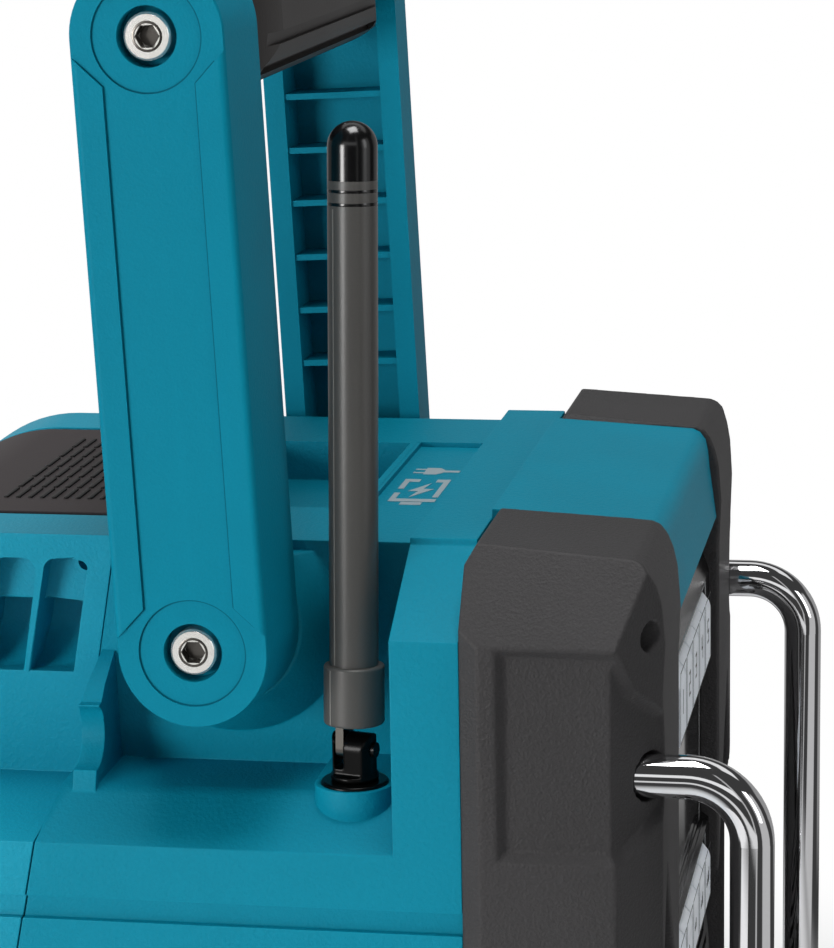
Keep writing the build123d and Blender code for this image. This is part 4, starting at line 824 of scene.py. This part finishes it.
def makeBezels(look):
    # thin bright lines round the two rows of keys and the window
    surface = surfaceOf("console_frame")
    form = bmesh.new()
    half = keyLook["count"] * keyLook["pitch"] / 2 + look["margin"]
    for top, bottom, wide in [(*heights, half) for heights in look["keyRows"]] + [look["window"]]:
        for u0, v0, u1, v1 in ((-wide, top, wide, top), (-wide, bottom, wide, bottom),
                               (-wide, bottom, -wide, top), (wide, bottom, wide, top)):
            centre = Vector(((u0 + u1) / 2 * mm, look["startY"], pivotZ + (v0 + v1) / 2 * mm))
            hit = surface.ray_cast(centre, Vector((0, 1, 0)))[0]
            if hit is None or hit.y > look["deepestY"]:
                continue
            along = Vector((1, 0, 0)) if v0 == v1 else Vector((0, 0, 1))
            length = (u1 - u0 if v0 == v1 else v1 - v0) + look["endsPast"]
            barInto(form, hit, along, Vector((0, -1, 0)), (length * mm, look["width"] * mm, look["height"] * mm))
    finishForm(form, "consoleBezels", "housing", "brightTrim")


makeBezels(bezelLook)

pointerLook = {
    # node, body and the line's distance from the knob's axis
    "knobs": (("volume_knob", "volume", 13.0), ("tuning_knob", "tuning", 8.5)),
    "lengthShare": 0.45, "width": 1.1, "height": 0.3, "standOff": 20.0,
}


def makePointers(look):
    # a pale line on each knob's face
    for nodeName, body, reach in look["knobs"]:
        low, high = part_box(nodeName)
        surface = surfaceOf(nodeName)
        form = bmesh.new()
        middle = Vector(((low[0] + high[0]) / 2, low[1], (low[2] + high[2]) / 2))
        start = middle + Vector((0, -look["standOff"], reach)) * mm
        hit = surface.ray_cast(start, Vector((0, 1, 0)))[0]
        size = Vector((reach * look["lengthShare"], look["width"], look["height"])) * mm
        if hit:
            barInto(form, Vector((middle.x, hit.y, start.z)), Vector((0, 0, 1)), Vector((0, -1, 0)), size)
        finishForm(form, nodeName + "Pointer", body, "paleInk")


makePointers(pointerLook)
print("stage: marks, bezels and pointers")

antennaLook = {
    # the pin's place, the mast's direction and the side of it that the seams are on
    "pin": (-108.0, -39.8, -33.1), "axis": (0.0423, -0.01055, 0.999), "seamSide": (-0.766, 0.643, 0.0),
    # seams: from, to and radius, on the collar and on the mast
    "seams": ((7.8, 23.6, 8.6), (24.8, 152.6, 6.95)), "seamWidth": 0.4, "seamHeight": 0.14,
    "grooves": (153.9, 157.5), "grooveRadius": 6.88, "grooveHalf": 0.55, "ringCrown": 0.12, "ringDeep": 0.3,
}


def makeAntennaDetail(look):
    # mould seams up the antenna in a paler rubber that paints the highlight along them, and glossy rings in its
    # grooves
    axis = Vector(look["axis"]).normalized()
    x, y, z = look["pin"]
    pin = Vector((x * mm, pivotY + y * mm, pivotZ + z * mm))
    side = Vector(look["seamSide"])
    side = (side - axis * side.dot(axis)).normalized()
    form = bmesh.new()
    for start, end, radius in look["seams"]:
        place = pin + axis * (start + end) / 2 * mm + side * radius * mm
        barInto(form, place, axis, side, ((end - start) * mm, look["seamWidth"] * mm, look["seamHeight"] * mm))
    finishForm(form, "antennaSeam", "antenna", "seamRubberPaintedHighlight")
    form = bmesh.new()
    half, radius, foot = look["grooveHalf"], look["grooveRadius"], look["grooveRadius"] - look["ringDeep"]
    for along in look["grooves"]:
        lathe(form, [(along - half, foot), (along - half, radius), (along, radius + look["ringCrown"]),
                     (along + half, radius), (along + half, foot)], pin, axis)
    finishForm(form, "antennaRings", "antenna", "capGloss", roundAngle)


makeAntennaDetail(antennaLook)

boltLook = {
    # piece, body, and how far behind and above the pivot line the bolts are
    "bolts": (("gripBoltSocketShade", "handle", 7.05, 168.85), ("pivotBoltSocketShade", "housing", 0.0, 0.0)), "faceX": 132.0,
    # the chamfer: radii, height, and how its outer edge, inner edge and foot lie to that
    "rimInner": 3.46, "rimOuter": 4.2, "proud": 0.05, "rimSlope": 0.1, "innerShare": 0.4, "rimDeep": 0.3,
    # the socket: half width over its flats, depth, and thickness of its walls and floor
    "flat": 2.93, "depth": 3.7, "wall": 0.08, "wallRounding": 0.1, "floor": 0.1,
}


def makeBoltRims(look):
    # painted shade: dark steel on the chamfer round each hexagon socket and on the socket's walls and floor, where
    # the bolt's bright steel only lies in shade
    out, flat, depth = look["proud"], look["flat"], look["depth"]
    sixth = math.pi / 6
    wide = 2 * flat * math.tan(sixth)
    rim = [(0, look["rimOuter"]), (out, look["rimOuter"] - look["rimSlope"]),
           (look["innerShare"] * out, look["rimInner"]), (-look["rimDeep"], look["rimInner"])]
    floor = [(flat * math.cos(n * sixth), flat * math.sin(n * sixth)) for n in range(12)]
    for name, body, behind, above in look["bolts"]:
        form = bmesh.new()
        for sign in (-1, 1):
            face = Vector((sign * look["faceX"] * mm, pivotY + behind * mm, pivotZ + above * mm))
            axis = Vector((sign, 0, 0))
            lathe(form, rim, face, axis)
            for n in range(6):
                turn = sixth + 2 * n * sixth
                ray = Vector((0, math.cos(turn), math.sin(turn)))
                centre = face + (ray * flat - axis * depth / 2) * mm
                barInto(form, centre, axis, ray, (depth * mm, wide * mm, look["wall"] * mm), look["wallRounding"])
            flatInto(form, floor, face - axis * depth * mm, Vector((0, sign, 0)), Vector((0, 0, 1)), look["floor"])
        finishForm(form, name, body, "darkSteelAndSocketShade", roundAngle)


makeBoltRims(boltLook)

armLook = {
    # the arm leans back by this many degrees and is this long between its rings' centres
    "lean": 2.4, "length": 169.0,
    # where the steps run: beside the sunk panel, out at its corners, and round the rings
    "panelX": 133.2, "stripInner": 12.8, "corner": 5.6, "ringX": 132.6, "ringRadius": 15.2,
    "line": 0.44, "proud": 0.05, "rounding": 0.2, "ringDeep": 0.1, "ringGap": 0.02, "ringSegments": 72,
}


def makeArmLines(look):
    # painted shade: a dark line at the foot of each step on an arm's outer face, where shadow falls
    lean = math.radians(look["lean"])
    upward = Vector((0, math.sin(lean), math.cos(lean)))
    sideways = Vector((0, math.cos(lean), -math.sin(lean)))
    line, proud, corner = look["line"], look["proud"], look["corner"]
    inner = look["stripInner"] - line / 2
    low, high = look["stripInner"], look["length"] - look["stripInner"]
    ringInner, ringOuter = look["ringRadius"] - line, look["ringRadius"] - look["ringGap"]
    ring = [(-look["ringDeep"], ringInner), (proud, ringInner), (proud, ringOuter), (-look["ringDeep"], ringOuter)]
    for name, sign in (("armStepShadeLeft", -1), ("armStepShadeRight", 1)):
        out = Vector((sign, 0, 0))
        foot = Vector((sign * look["panelX"] * mm, pivotY, pivotZ))
        form = bmesh.new()
        for side in (-1, 1):
            for y0, z0, y1, z1 in ((inner, low, inner, high), (inner, low, inner + corner, low - corner),
                                   (inner, high, inner + corner, high + corner)):
                start = foot + (sideways * side * y0 + upward * z0) * mm
                end = foot + (sideways * side * y1 + upward * z1) * mm
                size = ((end - start).length, line * mm, 2 * proud * mm)
                barInto(form, (start + end) / 2, (end - start).normalized(), out, size, look["rounding"])
        for z in (0, look["length"]):
            centre = Vector((sign * look["ringX"] * mm, pivotY, pivotZ)) + upward * z * mm
            lathe(form, ring, centre, out, look["ringSegments"])
        finishForm(form, name, "handle", "tealPaintedShade", roundAngle)


makeArmLines(armLook)
print("stage: antenna seams and rings, bolt rims, arm lines")
